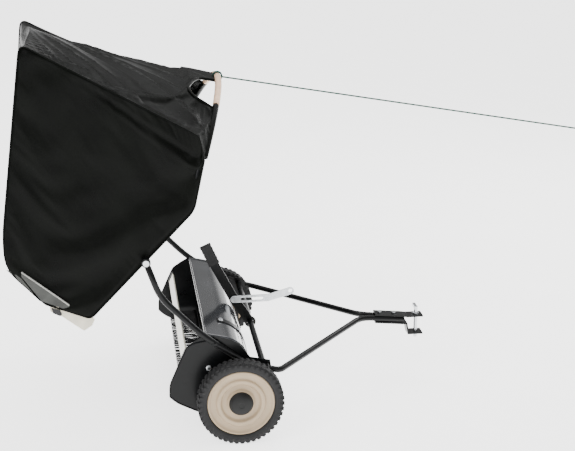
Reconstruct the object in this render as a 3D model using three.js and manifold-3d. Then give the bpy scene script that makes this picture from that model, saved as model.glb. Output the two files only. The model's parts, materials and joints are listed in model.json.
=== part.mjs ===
// Tow-behind lawn sweeper: a brush housing on two geared wheels, an A-frame drawbar with a height
// lever, and a fabric hopper that swings up on two arms when its dump rope is pulled.
// Millimetres. X points forward, Y to the machine's left, Z up. Profiles are drawn in the XZ plane
// with the wheel axle at their origin, and the finished group is moved to its standing frame.

import * as THREE from 'three';
import { mergeVertices } from 'three/addons/utils/BufferGeometryUtils.js';
import Module from 'manifold-3d';

const wasm = await Module();
wasm.setup();

// ---- driving dimensions -------------------------------------------------------------------------

const SWEEP_WIDTH = 880;        // over the outer faces of the side panels
const GAP = 0.3;                // between pieces that touch
const RUNNING_CLEARANCE = 0.4;  // around a shaft that turns

const WHEEL_RADIUS = 152.4;
const TYRE_WIDTH = 60;
const RIM_RADIUS = 118;
const RIM_SIDES = 40;
const RIM_WEB = 4;
const WHEEL_SIDE_CLEARANCE = 12; // between a tyre and the arm tube beside it
const AXLE_RADIUS = 10;
const AXLE_HEAD_RADIUS = 16;
const AXLE_HEAD_THICKNESS = 8;
const HUB_RADIUS = 26;
const CAP_RADIUS = 43;
const CAP_HEIGHT = 20;

const GEAR_MODULE = 3.6;
const RING_TEETH = 50;
const PINION_TEETH = 10;
const TOOTH_ADDENDUM = 2.6;
const TOOTH_DEDENDUM = 3.4;
const TOOTH_BACKLASH = 1.1;     // taken off each tooth at the pitch line
const TOOTH_SLOPE = 0.36;       // half-width lost per unit of height
const GEAR_FACE = 15;
const GEAR_LIP = 1;             // the ring gear sits this far inside the rim's edge

const SHAFT_RADIUS = 8;
const BUSH_WALL = 4;
const BUSH_FLANGE = 6;
const BRUSH_RADIUS = 130;
const BRUSH_ROWS = 4;
const BRUSH_ROW_THICKNESS = 9;
const BRUSH_CORE_SIDE = 36;
const BRUSH_END_CLEARANCE = 18; // between the brush and a side panel

const PANEL_THICKNESS = 3;
const HOOD_THICKNESS = 2.5;
const HOOD_BAND_WIDTH = 34;
const HOOD_BAND_THICKNESS = 2;
const HOOD_BAND_PLACE = 0.6;     // share of the way from the middle to the right side panel
const STRIP_WIDTH = 38;
const STRIP_THICKNESS = 3;

const TUBE_RADIUS = 11;         // drawbar, cross tube and hopper arms
const TUBE_SIDES = 12;
const BEND_RADIUS = 45;
const PIVOT_RADIUS = 7;
const EYE_WALL = 9;
const PIVOT_HEAD_RADIUS = 11;
const PIVOT_HEAD_THICKNESS = 4;

const HOPPER_TUBE_RADIUS = 8;
const HOPPER_TUBE_SIDES = 10;
const HOPPER_BEND_RADIUS = 30;
const BAG_SIDE_GAP = 8;         // between the side panel's outer plane and the fabric
const FABRIC = 3;
const BARE_BOW_HALF = 230;      // half the length of bow left bare at its top
const BOW_HANDLE_RADIUS = 12;   // the bare middle carries a thicker hand grip
const BOW_JOINT_GAP = 2;        // between the bow's three tubes

const CLEVIS_WIDTH = 50;
const CLEVIS_THICKNESS = 6;
const DRAWBAR_SLOT = 12;        // between the two drawbar tubes where they run together
const HITCH_BOLT_RADIUS = 5;
const HITCH_PIN_RADIUS = 7;
const HITCH_PIN_DROP = 18;      // how far the pin shows below the lower clevis arm
const HITCH_PIN_RISE = 30;      // how far the pin stands above the clevis
const HITCH_PIN_HANDLE = 46;
const LEVER_WIDTH = 35;
const LEVER_THICKNESS = 6;
const LEVER_BOLT_RADIUS = 5;
const GRIP_LENGTH = 84;
const GRIP_WALL = 4;
const GRIP_OVERHANG = 3;        // how far the grip reaches past the lever's end
const LEVER_BOSS_WALL = 11;     // of the lever round the cross tube
const STRAP_THICKNESS = 4;
const STRAP_HALF_WIDTH = 14;
const STRAP_SLOT_RADIUS = 6;
const STRAP_EYE_RADIUS = 8;
const BOLT_HEAD_HEIGHT = 5;

const ROPE_RADIUS = 3;
const KNOT_WALL = 7;
const TOGGLE_RADIUS = 13;
const TOGGLE_LENGTH = 110;

// ---- profiles, x forward and z up from the axle ---------------------------------------------------

const panelOutline = [
  [-242, 2], [-241, 47], [-204, 132], [-178, 187], [-150, 207], [-114, 227], [-60, 215], [-23, 205],
  [6, 186], [27, 158], [42, 137], [112, 122], [118, 86], [86, 40], [90, -54], [70, -68],
  [-138, -62], [-215, -23],
];
const hoodFront = [[84, -70], [75, -62], [38, 118]];
const hoodCrown = [20, 200];
const hoodRear = [[-60, 212], [-112, 224]];
const stripMiddle = [-190, 150];
const stripLean = THREE.MathUtils.degToRad(24);

const drawbarPivot = [90, 100];
const drawbarBend = [145, 86];
const drawbarJoin = [520, 100];
const drawbarEnd = [690, 84];
const clevisEnd = 764;
const clevisPinX = 740;
const clevisUpperZ = 97;
const clevisLowerZ = 26;
const clevisRear = 575;
const clevisLowerStep = 700;
const hitchBoltXs = [596, 652];

const hopperPivot = [-311, 505];
const armRoute = [hopperPivot, [-267, 378], [-133, 239], [15, 126]];
const bagPeak = [-691, 1251];
const bagCrease = [-120, 930];
const bowFoot = [-105, 850];
const bowTop = [-22, 1054];
const bagShoulder = [-143, 675];
const mouthUpper = [-503, 305];
const mouthLower = [-654, 365];
const apronEnd = [-778, 495];
const floorBend = [-781, 607];

const leverBolt = [29, 195];
const leverKnee = [-37, 322];
const leverTop = [-77, 411];
const strapKnee = [160, 196];
const strapEye = [245, 220];
const strapSlot = [[60, 195], [135, 195]];
const ropeEnd = [1385, 812];

// ---- places worked out from them ------------------------------------------------------------------

const panelY = SWEEP_WIDTH / 2;
const armY = panelY + GAP + TUBE_RADIUS;
const wheelY = armY + TUBE_RADIUS + WHEEL_SIDE_CLEARANCE + TYRE_WIDTH / 2;
const bagY = panelY - BAG_SIDE_GAP;
const hopperTubeY = bagY - FABRIC - GAP - HOPPER_TUBE_RADIUS;
const drawbarY = DRAWBAR_SLOT / 2 + TUBE_RADIUS;
const shaftX = -(RING_TEETH - PINION_TEETH) * GEAR_MODULE / 2;
const ringPitch = RING_TEETH * GEAR_MODULE / 2;
const ringOuter = ringPitch + TOOTH_DEDENDUM + 9;
const hubHalf = TYRE_WIDTH / 2 - 6;
const gearInner = wheelY - hubHalf;

// ---- materials -----------------------------------------------------------------------------------

function material(color, roughness, metalness) {
  return new THREE.MeshStandardMaterial({ color, roughness, metalness });
}

const blackPaint = material(0x101214, 0.3, 0.4);
const hoodPaint = material(0x16181c, 0.15, 0.4);
const tyreRubber = material(0x1b1c1d, 0.85, 0);
const creamPlastic = material(0xded0ba, 0.5, 0);
const capPlastic = material(0x34363a, 0.5, 0);
const zinc = material(0xb9bdc2, 0.35, 0.9);
const bareSteel = material(0x8d9094, 0.35, 1);
const gearPlastic = material(0xd9d6cc, 0.5, 0);
const bristle = material(0x1a1a1c, 0.9, 0);
const vinyl = material(0x1a1c1b, 0.35, 0);
const tanTube = material(0xc9a27c, 0.6, 0);
const creamStrip = material(0xe6e2cf, 0.5, 0);
const ropeFibre = material(0x1f4a3c, 0.8, 0);
const gripRubber = material(0x151515, 0.8, 0);

// ---- shape helpers ---------------------------------------------------------------------------------

const part = new THREE.Group();

function add(name, geometry, look, place = [0, 0, 0]) {
  const mesh = new THREE.Mesh(geometry, look);
  mesh.name = name;
  mesh.position.set(...place);
  part.add(mesh);
  return mesh;
}

const at = ([x, z], y = 0) => new THREE.Vector3(x, y, z);

// A closed outline with its holes wound the other way round.
function shapeOf(points, holes = []) {
  const wound = (outline, clockwise) => {
    const corners = outline.map(([x, z]) => new THREE.Vector2(x, z));
    return THREE.ShapeUtils.isClockWise(corners) === clockwise ? corners : corners.reverse();
  };
  const shape = new THREE.Shape(wound(points, false));
  for (const hole of holes) shape.holes.push(new THREE.Path(wound(hole, true)));
  return shape;
}

// A flat piece drawn in the XZ plane that spans y0 to y1.
function slab(points, holes, y0, y1) {
  const low = Math.min(y0, y1);
  const high = Math.max(y0, y1);
  const options = { depth: high - low, bevelEnabled: false };
  const geometry = new THREE.ExtrudeGeometry(shapeOf(points, holes), options);
  geometry.rotateX(Math.PI / 2);
  geometry.translate(0, high, 0);
  return geometry;
}

function ring([x, z], radius, sides = 16) {
  const step = 2 * Math.PI / sides;
  return Array.from({ length: sides }, (_, i) => {
    const angle = (i + 0.5) * step;
    return [x + radius * Math.sin(angle), z + radius * Math.cos(angle)];
  });
}

// A turned piece about a line along Y; each point is [radius, distance along the line].
function turned(points, sides) {
  const closed = points[0][0] > 0;
  const outline = closed ? [...points, points[0]] : points;
  const profile = outline.map(([radius, along]) => new THREE.Vector2(radius, along));
  const geometry = new THREE.LatheGeometry(profile, sides, Math.PI / sides);
  return outward(geometry);
}

function outward(geometry) {
  geometry.deleteAttribute('normal');
  geometry.deleteAttribute('uv');
  const merged = mergeVertices(geometry, 1e-4);
  const position = merged.attributes.position;
  const index = Array.from(merged.index.array);
  const [a, b, c] = [new THREE.Vector3(), new THREE.Vector3(), new THREE.Vector3()];
  const kept = [];
  let volume = 0;
  for (let i = 0; i < index.length; i += 3) {
    const corner = index.slice(i, i + 3);
    if (new Set(corner).size < 3) continue;
    a.fromBufferAttribute(position, corner[0]);
    b.fromBufferAttribute(position, corner[1]);
    c.fromBufferAttribute(position, corner[2]);
    volume += a.dot(b.cross(c));
    kept.push(...corner);
  }
  if (volume < 0) kept.reverse();
  merged.setIndex(kept);
  return merged;
}

function solid(geometry) {
  const clean = outward(geometry.clone());
  const vertProperties = new Float32Array(clean.attributes.position.array);
  const triVerts = new Uint32Array(clean.index.array);
  return new wasm.Manifold(new wasm.Mesh({ numProp: 3, vertProperties, triVerts }));
}

function fromSolid(body) {
  const mesh = body.getMesh();
  const geometry = new THREE.BufferGeometry();
  geometry.setAttribute('position', new THREE.BufferAttribute(new Float32Array(mesh.vertProperties), 3));
  geometry.setIndex(Array.from(mesh.triVerts));
  return geometry;
}

function cut(geometry, ...tools) {
  return fromSolid(tools.reduce((body, tool) => body.subtract(solid(tool)), solid(geometry)));
}

function join(first, second) {
  return fromSolid(solid(first).add(solid(second)));
}

// A path through listed points that is sampled only at those points.
class Route extends THREE.Curve {
  constructor(points) {
    super();
    this.points = points;
  }
  getPoint(t, target = new THREE.Vector3()) {
    const place = t * (this.points.length - 1);
    const index = Math.min(Math.floor(place), this.points.length - 2);
    return target.lerpVectors(this.points[index], this.points[index + 1], place - index);
  }
  getPointAt(u, target) {
    return this.getPoint(u, target);
  }
  getTangentAt(u, target) {
    return this.getTangent(u, target);
  }
}

// The same points with every inner corner rounded.
function rounded(points, radius, steps = 5) {
  const route = [points[0]];
  for (let i = 1; i < points.length - 1; i += 1) {
    const before = points[i - 1].clone().sub(points[i]);
    const after = points[i + 1].clone().sub(points[i]);
    const reach = Math.min(radius, before.length() / 2.2, after.length() / 2.2);
    const start = points[i].clone().addScaledVector(before.normalize(), reach);
    const end = points[i].clone().addScaledVector(after.normalize(), reach);
    const bend = new THREE.QuadraticBezierCurve3(start, points[i], end);
    route.push(...bend.getPoints(steps));
  }
  route.push(points[points.length - 1]);
  return route;
}

function tube(points, radius, sides) {
  const section = shapeOf(ring([0, 0], radius, sides));
  const route = new Route(points);
  const options = { steps: points.length - 1, extrudePath: route, bevelEnabled: false };
  return outward(new THREE.ExtrudeGeometry(section, options));
}

// A bent sheet: a profile in XZ with a thickness, spanning y0 to y1.
function sheet(points, thickness, y0, y1) {
  return slab(stroke(points, thickness / 2), [], y0, y1);
}

// The outline of a line of points given a half-width on each side.
function stroke(points, half) {
  const left = [];
  const right = [];
  points.forEach((point, i) => {
    const before = points[Math.max(i - 1, 0)];
    const after = points[Math.min(i + 1, points.length - 1)];
    const inDir = new THREE.Vector2(point[0] - before[0], point[1] - before[1]).normalize();
    const outDir = new THREE.Vector2(after[0] - point[0], after[1] - point[1]).normalize();
    const along = inDir.clone().add(outDir).normalize();
    const lead = i === 0 ? outDir : inDir;
    const reach = half / Math.max(along.dot(lead), 0.5);
    left.push([point[0] - along.y * reach, point[1] + along.x * reach]);
    right.unshift([point[0] + along.y * reach, point[1] - along.x * reach]);
  });
  return [...left, ...right];
}

const lerp = (a, b, t) => a.map((value, i) => value + (b[i] - value) * t);

const sides = [['right', -1], ['left', 1]];

// ---- wheels and their gears -------------------------------------------------------------------------

// Points around a gear: each tooth runs from the root radius to the tip radius and back.
function gearOutline(teeth, tip, root, phase) {
  const pitchRadius = teeth * GEAR_MODULE / 2;
  const half = (Math.PI * GEAR_MODULE / 2 - TOOTH_BACKLASH) / 2;
  const tipHalf = half - Math.abs(tip - pitchRadius) * TOOTH_SLOPE;
  const rootHalf = half + Math.abs(root - pitchRadius) * TOOTH_SLOPE * 0.8;
  const points = [];
  for (let i = 0; i < teeth; i += 1) {
    const middle = phase + i * 2 * Math.PI / teeth;
    const corners = [[root, -rootHalf], [tip, -tipHalf], [tip, tipHalf], [root, rootHalf]];
    for (const [radius, across] of corners) {
      const angle = middle + across / radius;
      points.push([radius * Math.cos(angle), radius * Math.sin(angle)]);
    }
  }
  return points;
}

function wheelRim(side) {
  const profile = [
    [AXLE_RADIUS + RUNNING_CLEARANCE, -hubHalf], [HUB_RADIUS, -hubHalf], [HUB_RADIUS, RIM_WEB],
    [ringOuter - 2, RIM_WEB], [ringOuter - 2, -hubHalf], [RIM_RADIUS, -hubHalf], [RIM_RADIUS, hubHalf - 2],
    [RIM_RADIUS - 6, hubHalf], [RIM_RADIUS - 14, 17], [RIM_RADIUS - 28, 15], [RIM_RADIUS - 34, 20],
    [RIM_RADIUS - 42, 20], [RIM_RADIUS - 48, 14], [CAP_RADIUS + 3, 14], [CAP_RADIUS + 1, hubHalf - 4],
    [AXLE_RADIUS + RUNNING_CLEARANCE, hubHalf - 4],
  ];
  const body = turned(profile.map(([radius, along]) => [radius, along * side]), RIM_SIDES);
  const teeth = gearOutline(RING_TEETH, ringPitch - TOOTH_ADDENDUM, ringPitch + TOOTH_DEDENDUM, Math.PI);
  const lip = -side * (hubHalf - GEAR_LIP);
  const gear = slab(ring([0, 0], ringOuter, RIM_SIDES), [teeth], lip, lip + side * GEAR_FACE);
  return join(body, gear);
}

function wheel(name, side) {
  const shoulder = TYRE_WIDTH / 2;
  const bead = RIM_RADIUS + GAP;
  const tyre = [
    [bead, -shoulder + 8], [bead + 6, -shoulder + 2], [WHEEL_RADIUS - 14, -shoulder],
    [WHEEL_RADIUS - 4, -shoulder + 4], [WHEEL_RADIUS, -shoulder + 12], [WHEEL_RADIUS, shoulder - 12],
    [WHEEL_RADIUS - 4, shoulder - 4], [WHEEL_RADIUS - 14, shoulder], [bead + 6, shoulder - 2],
    [bead, shoulder - 8],
  ];
  const capBase = hubHalf - 4 + GAP;
  const cap = [
    [0, capBase], [CAP_RADIUS, capBase], [CAP_RADIUS, capBase + CAP_HEIGHT * 0.3],
    [CAP_RADIUS * 0.86, capBase + CAP_HEIGHT * 0.75], [CAP_RADIUS * 0.5, capBase + CAP_HEIGHT * 0.95],
    [0, capBase + CAP_HEIGHT],
  ];
  const middle = [0, side * wheelY, 0];
  add(`${name}_tyre`, turned(tyre, RIM_SIDES), tyreRubber, middle);
  add(`${name}_rim`, wheelRim(side), creamPlastic, middle);
  add(`${name}_hub_cap`, turned(cap.map(([r, a]) => [r, a * side]), 24), capPlastic, middle);
}

function axleBolt(name, side) {
  const inner = panelY - PANEL_THICKNESS - GAP;
  const profile = [
    [0, inner - AXLE_HEAD_THICKNESS], [AXLE_HEAD_RADIUS, inner - AXLE_HEAD_THICKNESS],
    [AXLE_HEAD_RADIUS, inner], [AXLE_RADIUS, inner], [AXLE_RADIUS, panelY + GAP],
    [AXLE_RADIUS + 5, panelY + GAP], [AXLE_RADIUS + 5, wheelY - hubHalf - 1],
    [AXLE_RADIUS, wheelY - hubHalf - 1], [AXLE_RADIUS, wheelY + hubHalf - 8], [0, wheelY + hubHalf - 8],
  ];
  add(`${name}_axle_bolt`, turned(profile.map(([r, a]) => [r, a * side]), 16), zinc);
}

function pinion(name, side) {
  const pitch = PINION_TEETH * GEAR_MODULE / 2;
  const phase = Math.PI + Math.PI / PINION_TEETH;
  const teeth = gearOutline(PINION_TEETH, pitch + TOOTH_ADDENDUM, pitch - TOOTH_DEDENDUM, phase);
  const bore = ring([0, 0], SHAFT_RADIUS + RUNNING_CLEARANCE, 12);
  const y0 = side * (gearInner + 1);
  const y1 = side * (gearInner + GEAR_FACE - 1);
  add(`${name}_pinion`, slab(teeth, [bore], y0, y1), gearPlastic, [shaftX, 0, 0]);
}

// ---- brush ---------------------------------------------------------------------------------------

function brush() {
  const shaftEnd = gearInner + GEAR_FACE + 3;
  const half = panelY - PANEL_THICKNESS - BRUSH_END_CLEARANCE;
  const core = BRUSH_CORE_SIDE / 2;
  const shaft = [[0, -shaftEnd], [SHAFT_RADIUS, -shaftEnd], [SHAFT_RADIUS, shaftEnd], [0, shaftEnd]];
  const square = [[-core, -core], [core, -core], [core, core], [-core, core]];
  const bore = ring([0, 0], SHAFT_RADIUS + GAP, 12);
  add('brush_shaft', turned(shaft, 12), bareSteel, [shaftX, 0, 0]);
  add('brush_core', slab(square, [bore], -half, half), blackPaint, [shaftX, 0, 0]);
  for (let i = 0; i < BRUSH_ROWS; i += 1) {
    const inner = core + GAP;
    const row = new THREE.BoxGeometry(BRUSH_RADIUS - inner, 2 * half - 10, BRUSH_ROW_THICKNESS);
    row.translate((BRUSH_RADIUS + inner) / 2, 0, 0);
    const mesh = add(`brush_row_${i + 1}`, row, bristle, [shaftX, 0, 0]);
    mesh.rotation.y = i * 2 * Math.PI / BRUSH_ROWS;
  }
}

function brushBush(name, side) {
  const bore = SHAFT_RADIUS + RUNNING_CLEARANCE;
  const body = bore + BUSH_WALL;
  const flange = body + BUSH_FLANGE;
  const inner = panelY - PANEL_THICKNESS - 5;
  const profile = [
    [bore, inner], [body, inner], [body, panelY + GAP], [flange, panelY + GAP], [flange, panelY + 4],
    [bore, panelY + 4],
  ];
  add(`${name}_brush_bush`, turned(profile.map(([r, a]) => [r, a * side]), 16), capPlastic, [shaftX, 0, 0]);
}

// ---- housing -------------------------------------------------------------------------------------

function sidePanel(name, side) {
  const holes = [
    ring([0, 0], AXLE_RADIUS + GAP * 2),
    ring([shaftX, 0], SHAFT_RADIUS + RUNNING_CLEARANCE + BUSH_WALL + GAP * 2),
    ring(drawbarPivot, TUBE_RADIUS + RUNNING_CLEARANCE * 2),
  ];
  const geometry = slab(panelOutline, holes, side * (panelY - PANEL_THICKNESS), side * panelY);
  add(`${name}_side_panel`, geometry, blackPaint);
}

function hood() {
  const half = panelY - PANEL_THICKNESS - GAP;
  const front = hoodFront[hoodFront.length - 1];
  const crown = new THREE.QuadraticBezierCurve(
    new THREE.Vector2(...front),
    new THREE.Vector2(...hoodCrown),
    new THREE.Vector2(...hoodRear[0]),
  );
  const curve = crown.getPoints(7).slice(1, -1).map((point) => [point.x, point.y]);
  const profile = [...hoodFront, ...curve, ...hoodRear];
  add('hood', sheet(profile, HOOD_THICKNESS, -half, half), hoodPaint);
  const bandRise = HOOD_THICKNESS / 2 + GAP + HOOD_BAND_THICKNESS / 2;
  const outer = stroke(profile, bandRise).slice(profile.length).reverse();
  const middle = -panelY * HOOD_BAND_PLACE;
  const bandHalf = HOOD_BAND_WIDTH / 2;
  const band = sheet(outer.slice(2, -1), HOOD_BAND_THICKNESS, middle - bandHalf, middle + bandHalf);
  add('hood_band', band, blackPaint);
}

function rearStrip() {
  const half = panelY - PANEL_THICKNESS - GAP;
  const dx = Math.sin(stripLean) * STRIP_WIDTH / 2;
  const dz = Math.cos(stripLean) * STRIP_WIDTH / 2;
  const [x, z] = stripMiddle;
  add('rear_strip', sheet([[x - dx, z - dz], [x + dx, z + dz]], STRIP_THICKNESS, -half, half), creamStrip);
}

function hopperArm(name, side) {
  const y = side * armY;
  const eye = PIVOT_RADIUS + RUNNING_CLEARANCE + EYE_WALL;
  const points = armRoute.map((point) => at(point, y));
  const lead = points[1].clone().sub(points[0]).normalize();
  points[0].addScaledVector(lead, eye + 1);
  add(`${name}_hopper_arm`, tube(rounded(points, BEND_RADIUS), TUBE_RADIUS, TUBE_SIDES), blackPaint);
  const bore = PIVOT_RADIUS + RUNNING_CLEARANCE;
  const profile = [[bore, -TUBE_RADIUS], [eye, -TUBE_RADIUS], [eye, TUBE_RADIUS], [bore, TUBE_RADIUS]];
  add(`${name}_arm_eye`, turned(profile, 16), blackPaint, [hopperPivot[0], y, hopperPivot[1]]);
}

// ---- drawbar, clevis and height lever ----------------------------------------------------------------

function drawbar() {
  const half = armY + TUBE_RADIUS;
  const cross = [at(drawbarPivot, -half), at(drawbarPivot, half)];
  add('cross_tube', tube(cross, TUBE_RADIUS, TUBE_SIDES), blackPaint);
  for (const [name, side] of sides) {
    const start = at(drawbarPivot, side * armY);
    const bend = at(drawbarBend, side * armY);
    start.addScaledVector(bend.clone().sub(start).normalize(), TUBE_RADIUS + 2);
    const points = [start, bend, at(drawbarJoin, side * drawbarY), at(drawbarEnd, side * drawbarY)];
    add(`${name}_drawbar_tube`, tube(rounded(points, BEND_RADIUS), TUBE_RADIUS, TUBE_SIDES), blackPaint);
  }
}

// The height of the drawbar tubes' centre line at a place along their last straight run.
function drawbarZ(x) {
  const t = (x - drawbarJoin[0]) / (drawbarEnd[0] - drawbarJoin[0]);
  return lerp(drawbarJoin, drawbarEnd, t)[1];
}

function upright(x, radius, z0, z1) {
  const geometry = new THREE.CylinderGeometry(radius, radius, z1 - z0, 12);
  geometry.rotateX(Math.PI / 2);
  geometry.translate(x, 0, (z0 + z1) / 2);
  return geometry;
}

function clevis() {
  const half = CLEVIS_WIDTH / 2;
  const rise = TUBE_RADIUS + GAP + CLEVIS_THICKNESS / 2 + 1;
  const boltHoles = hitchBoltXs.map((x) => upright(x, HITCH_BOLT_RADIUS + GAP, -200, 300));
  const pinHole = upright(clevisPinX, HITCH_PIN_RADIUS + RUNNING_CLEARANCE, -200, 300);
  const upper = [
    [clevisRear, drawbarZ(clevisRear) + rise], [drawbarEnd[0] - 5, drawbarZ(drawbarEnd[0] - 5) + rise],
    [drawbarEnd[0] + 12, clevisUpperZ], [clevisEnd, clevisUpperZ],
  ];
  const lower = [
    [clevisRear, drawbarZ(clevisRear) - rise], [clevisLowerStep, drawbarZ(clevisLowerStep) - rise],
    [clevisLowerStep + 8, clevisLowerZ], [clevisEnd, clevisLowerZ],
  ];
  const upperPlate = sheet(upper, CLEVIS_THICKNESS, -half, half);
  const lowerPlate = sheet(lower, CLEVIS_THICKNESS, -half, half);
  add('clevis_upper_plate', cut(upperPlate, ...boltHoles, pinHole), blackPaint);
  add('clevis_lower_plate', cut(lowerPlate, ...boltHoles, pinHole), blackPaint);
  hitchBoltXs.forEach((x, i) => {
    const seat = drawbarZ(x) + rise + CLEVIS_THICKNESS / 2 + 1.2;
    const foot = drawbarZ(x) - rise - CLEVIS_THICKNESS / 2 - 6;
    const shank = upright(x, HITCH_BOLT_RADIUS, foot, seat + 1);
    const head = upright(x, HITCH_BOLT_RADIUS * 1.8, seat, seat + BOLT_HEAD_HEIGHT);
    add(`hitch_bolt_${i + 1}`, join(shank, head), zinc);
  });
  const collar = clevisUpperZ + CLEVIS_THICKNESS / 2 + GAP;
  const foot = clevisLowerZ - CLEVIS_THICKNESS / 2 - HITCH_PIN_DROP;
  const shank = upright(clevisPinX, HITCH_PIN_RADIUS, foot, collar + HITCH_PIN_RISE);
  const flange = upright(clevisPinX, HITCH_PIN_RADIUS * 1.8, collar, collar + 5);
  const thick = HITCH_PIN_RADIUS * 1.6;
  const handle = new THREE.BoxGeometry(thick, HITCH_PIN_HANDLE, thick);
  handle.translate(clevisPinX, HITCH_PIN_HANDLE / 2 - HITCH_PIN_RADIUS, collar + HITCH_PIN_RISE - 6);
  add('hitch_pin', join(join(shank, flange), handle), zinc);
}

function roundedBar(start, end, radius, steps = 8) {
  const heading = Math.atan2(end[1] - start[1], end[0] - start[0]);
  const points = [];
  for (const [middle, from] of [[end, heading - Math.PI / 2], [start, heading + Math.PI / 2]]) {
    for (let i = 0; i <= steps; i += 1) {
      const angle = from + i * Math.PI / steps;
      points.push([middle[0] + radius * Math.cos(angle), middle[1] + radius * Math.sin(angle)]);
    }
  }
  return points;
}

function heightLever() {
  const half = LEVER_THICKNESS / 2;
  const line = [leverTop, leverKnee, leverBolt, drawbarPivot];
  const bar = slab(stroke(line, LEVER_WIDTH / 2), [], -half, half);
  const boss = slab(ring(drawbarPivot, TUBE_RADIUS + LEVER_BOSS_WALL), [], -half, half);
  const tubeHole = slab(ring(drawbarPivot, TUBE_RADIUS + GAP * 2), [], -half - 1, half + 1);
  const boltHole = slab(ring(leverBolt, LEVER_BOLT_RADIUS + GAP * 2), [], -half - 1, half + 1);
  add('height_lever', cut(join(bar, boss), tubeHole, boltHole), blackPaint);
  const along = new THREE.Vector2(leverTop[0] - leverKnee[0], leverTop[1] - leverKnee[1]).normalize();
  const gripTop = [leverTop[0] + along.x * GRIP_OVERHANG, leverTop[1] + along.y * GRIP_OVERHANG];
  const gripEnd = [gripTop[0] - along.x * GRIP_LENGTH, gripTop[1] - along.y * GRIP_LENGTH];
  const outerLine = stroke([gripTop, gripEnd], LEVER_WIDTH / 2 + GRIP_WALL);
  const innerLine = stroke([lerp(gripTop, leverKnee, -0.5), leverKnee], LEVER_WIDTH / 2 + GAP * 2);
  const outer = slab(outerLine, [], -half - GRIP_WALL, half + GRIP_WALL);
  const inner = slab(innerLine, [], -half - GAP, half + GAP);
  add('lever_grip', cut(outer, inner), gripRubber);
}

function lockStrap() {
  const inner = -(LEVER_THICKNESS / 2 + GAP);
  const outer = inner - STRAP_THICKNESS;
  const through = [outer - 1, inner + 1];
  const bar = slab(roundedBar(leverBolt, strapKnee, STRAP_HALF_WIDTH), [], outer, inner);
  const tip = slab(roundedBar(strapKnee, strapEye, STRAP_HALF_WIDTH), [], outer, inner);
  const slot = slab(roundedBar(...strapSlot, STRAP_SLOT_RADIUS), [], ...through);
  const boltHole = slab(ring(leverBolt, LEVER_BOLT_RADIUS + RUNNING_CLEARANCE), [], ...through);
  const eye = slab(ring(strapEye, STRAP_EYE_RADIUS), [], ...through);
  add('lock_strap', cut(join(bar, tip), slot, boltHole, eye), zinc);
  const head = LEVER_BOLT_RADIUS * 1.9;
  const far = LEVER_THICKNESS / 2 + GAP;
  const profile = [
    [0, outer - BOLT_HEAD_HEIGHT], [head, outer - BOLT_HEAD_HEIGHT], [head, outer - GAP],
    [LEVER_BOLT_RADIUS, outer - GAP], [LEVER_BOLT_RADIUS, far], [head, far],
    [head, far + BOLT_HEAD_HEIGHT], [0, far + BOLT_HEAD_HEIGHT],
  ];
  add('lever_bolt', turned(profile, 12), zinc, [leverBolt[0], 0, leverBolt[1]]);
}

// ---- hopper --------------------------------------------------------------------------------------

const bagOutline = [
  bagPeak, bagCrease, bowFoot, bagShoulder, mouthUpper, mouthLower, apronEnd, floorBend,
];

// The bag's outline moved inwards by a distance, corner by corner.
function inset(outline, distance) {
  return outline.map((point, i) => {
    const before = outline[(i + outline.length - 1) % outline.length];
    const after = outline[(i + 1) % outline.length];
    const inDir = new THREE.Vector2(point[0] - before[0], point[1] - before[1]).normalize();
    const outDir = new THREE.Vector2(after[0] - point[0], after[1] - point[1]).normalize();
    const along = inDir.clone().add(outDir).normalize();
    const reach = distance / Math.max(along.dot(inDir), 0.5);
    return [point[0] + along.y * reach, point[1] - along.x * reach];
  });
}

// The bow's centre line at a place across the machine: an arch from foot to foot.
function bowAt(y) {
  const rise = 1 - (y / hopperTubeY) ** 2;
  return at(lerp(bowFoot, bowTop, rise), y);
}

function bowTube(name, y0, y1, steps, radius, look) {
  const points = Array.from({ length: steps + 1 }, (_, i) => bowAt(y0 + (y1 - y0) * i / steps));
  add(name, tube(points, radius, HOPPER_TUBE_SIDES), look);
}

function hopperFrame() {
  const seat = inset(bagOutline, FABRIC + GAP + HOPPER_TUBE_RADIUS);
  const [, , foot, shoulder, upper, lower] = seat;
  for (const [name, side] of sides) {
    const y = side * hopperTubeY;
    const heel = lerp(shoulder, foot, 0.82);
    const frame = [at(heel, y), at(shoulder, y), at(upper, y)];
    const line = rounded(frame, HOPPER_BEND_RADIUS);
    add(`${name}_hopper_frame`, tube(line, HOPPER_TUBE_RADIUS, HOPPER_TUBE_SIDES), blackPaint);
    const lead = at(lower, y).sub(at(upper, y)).normalize();
    const start = at(upper, y).addScaledVector(lead, HOPPER_TUBE_RADIUS * 2.4);
    add(`${name}_mouth_tube`, tube([start, at(lower, y)], HOPPER_TUBE_RADIUS, HOPPER_TUBE_SIDES), tanTube);
  }
  const half = hopperTubeY - HOPPER_TUBE_RADIUS - GAP;
  const cross = [
    ['hopper_top_bar', lerp(shoulder, foot, 0.2), blackPaint],
    ['hopper_front_bar', lerp(shoulder, upper, 0.9), blackPaint],
    ['hopper_mouth_bar', lerp(upper, lower, 0.85), tanTube],
  ];
  for (const [name, place, look] of cross) {
    const ends = [at(place, -half), at(place, half)];
    add(name, tube(ends, HOPPER_TUBE_RADIUS, HOPPER_TUBE_SIDES), look);
  }
}

function bow() {
  const gap = BOW_JOINT_GAP / 2;
  const foot = hopperTubeY - 30;
  const bare = BARE_BOW_HALF - gap;
  bowTube('right_bow_tube', -foot, -BARE_BOW_HALF - gap, 4, HOPPER_TUBE_RADIUS, blackPaint);
  bowTube('bow_handle', -bare, bare, 8, BOW_HANDLE_RADIUS, tanTube);
  bowTube('left_bow_tube', BARE_BOW_HALF + gap, foot, 4, HOPPER_TUBE_RADIUS, blackPaint);
}

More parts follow.
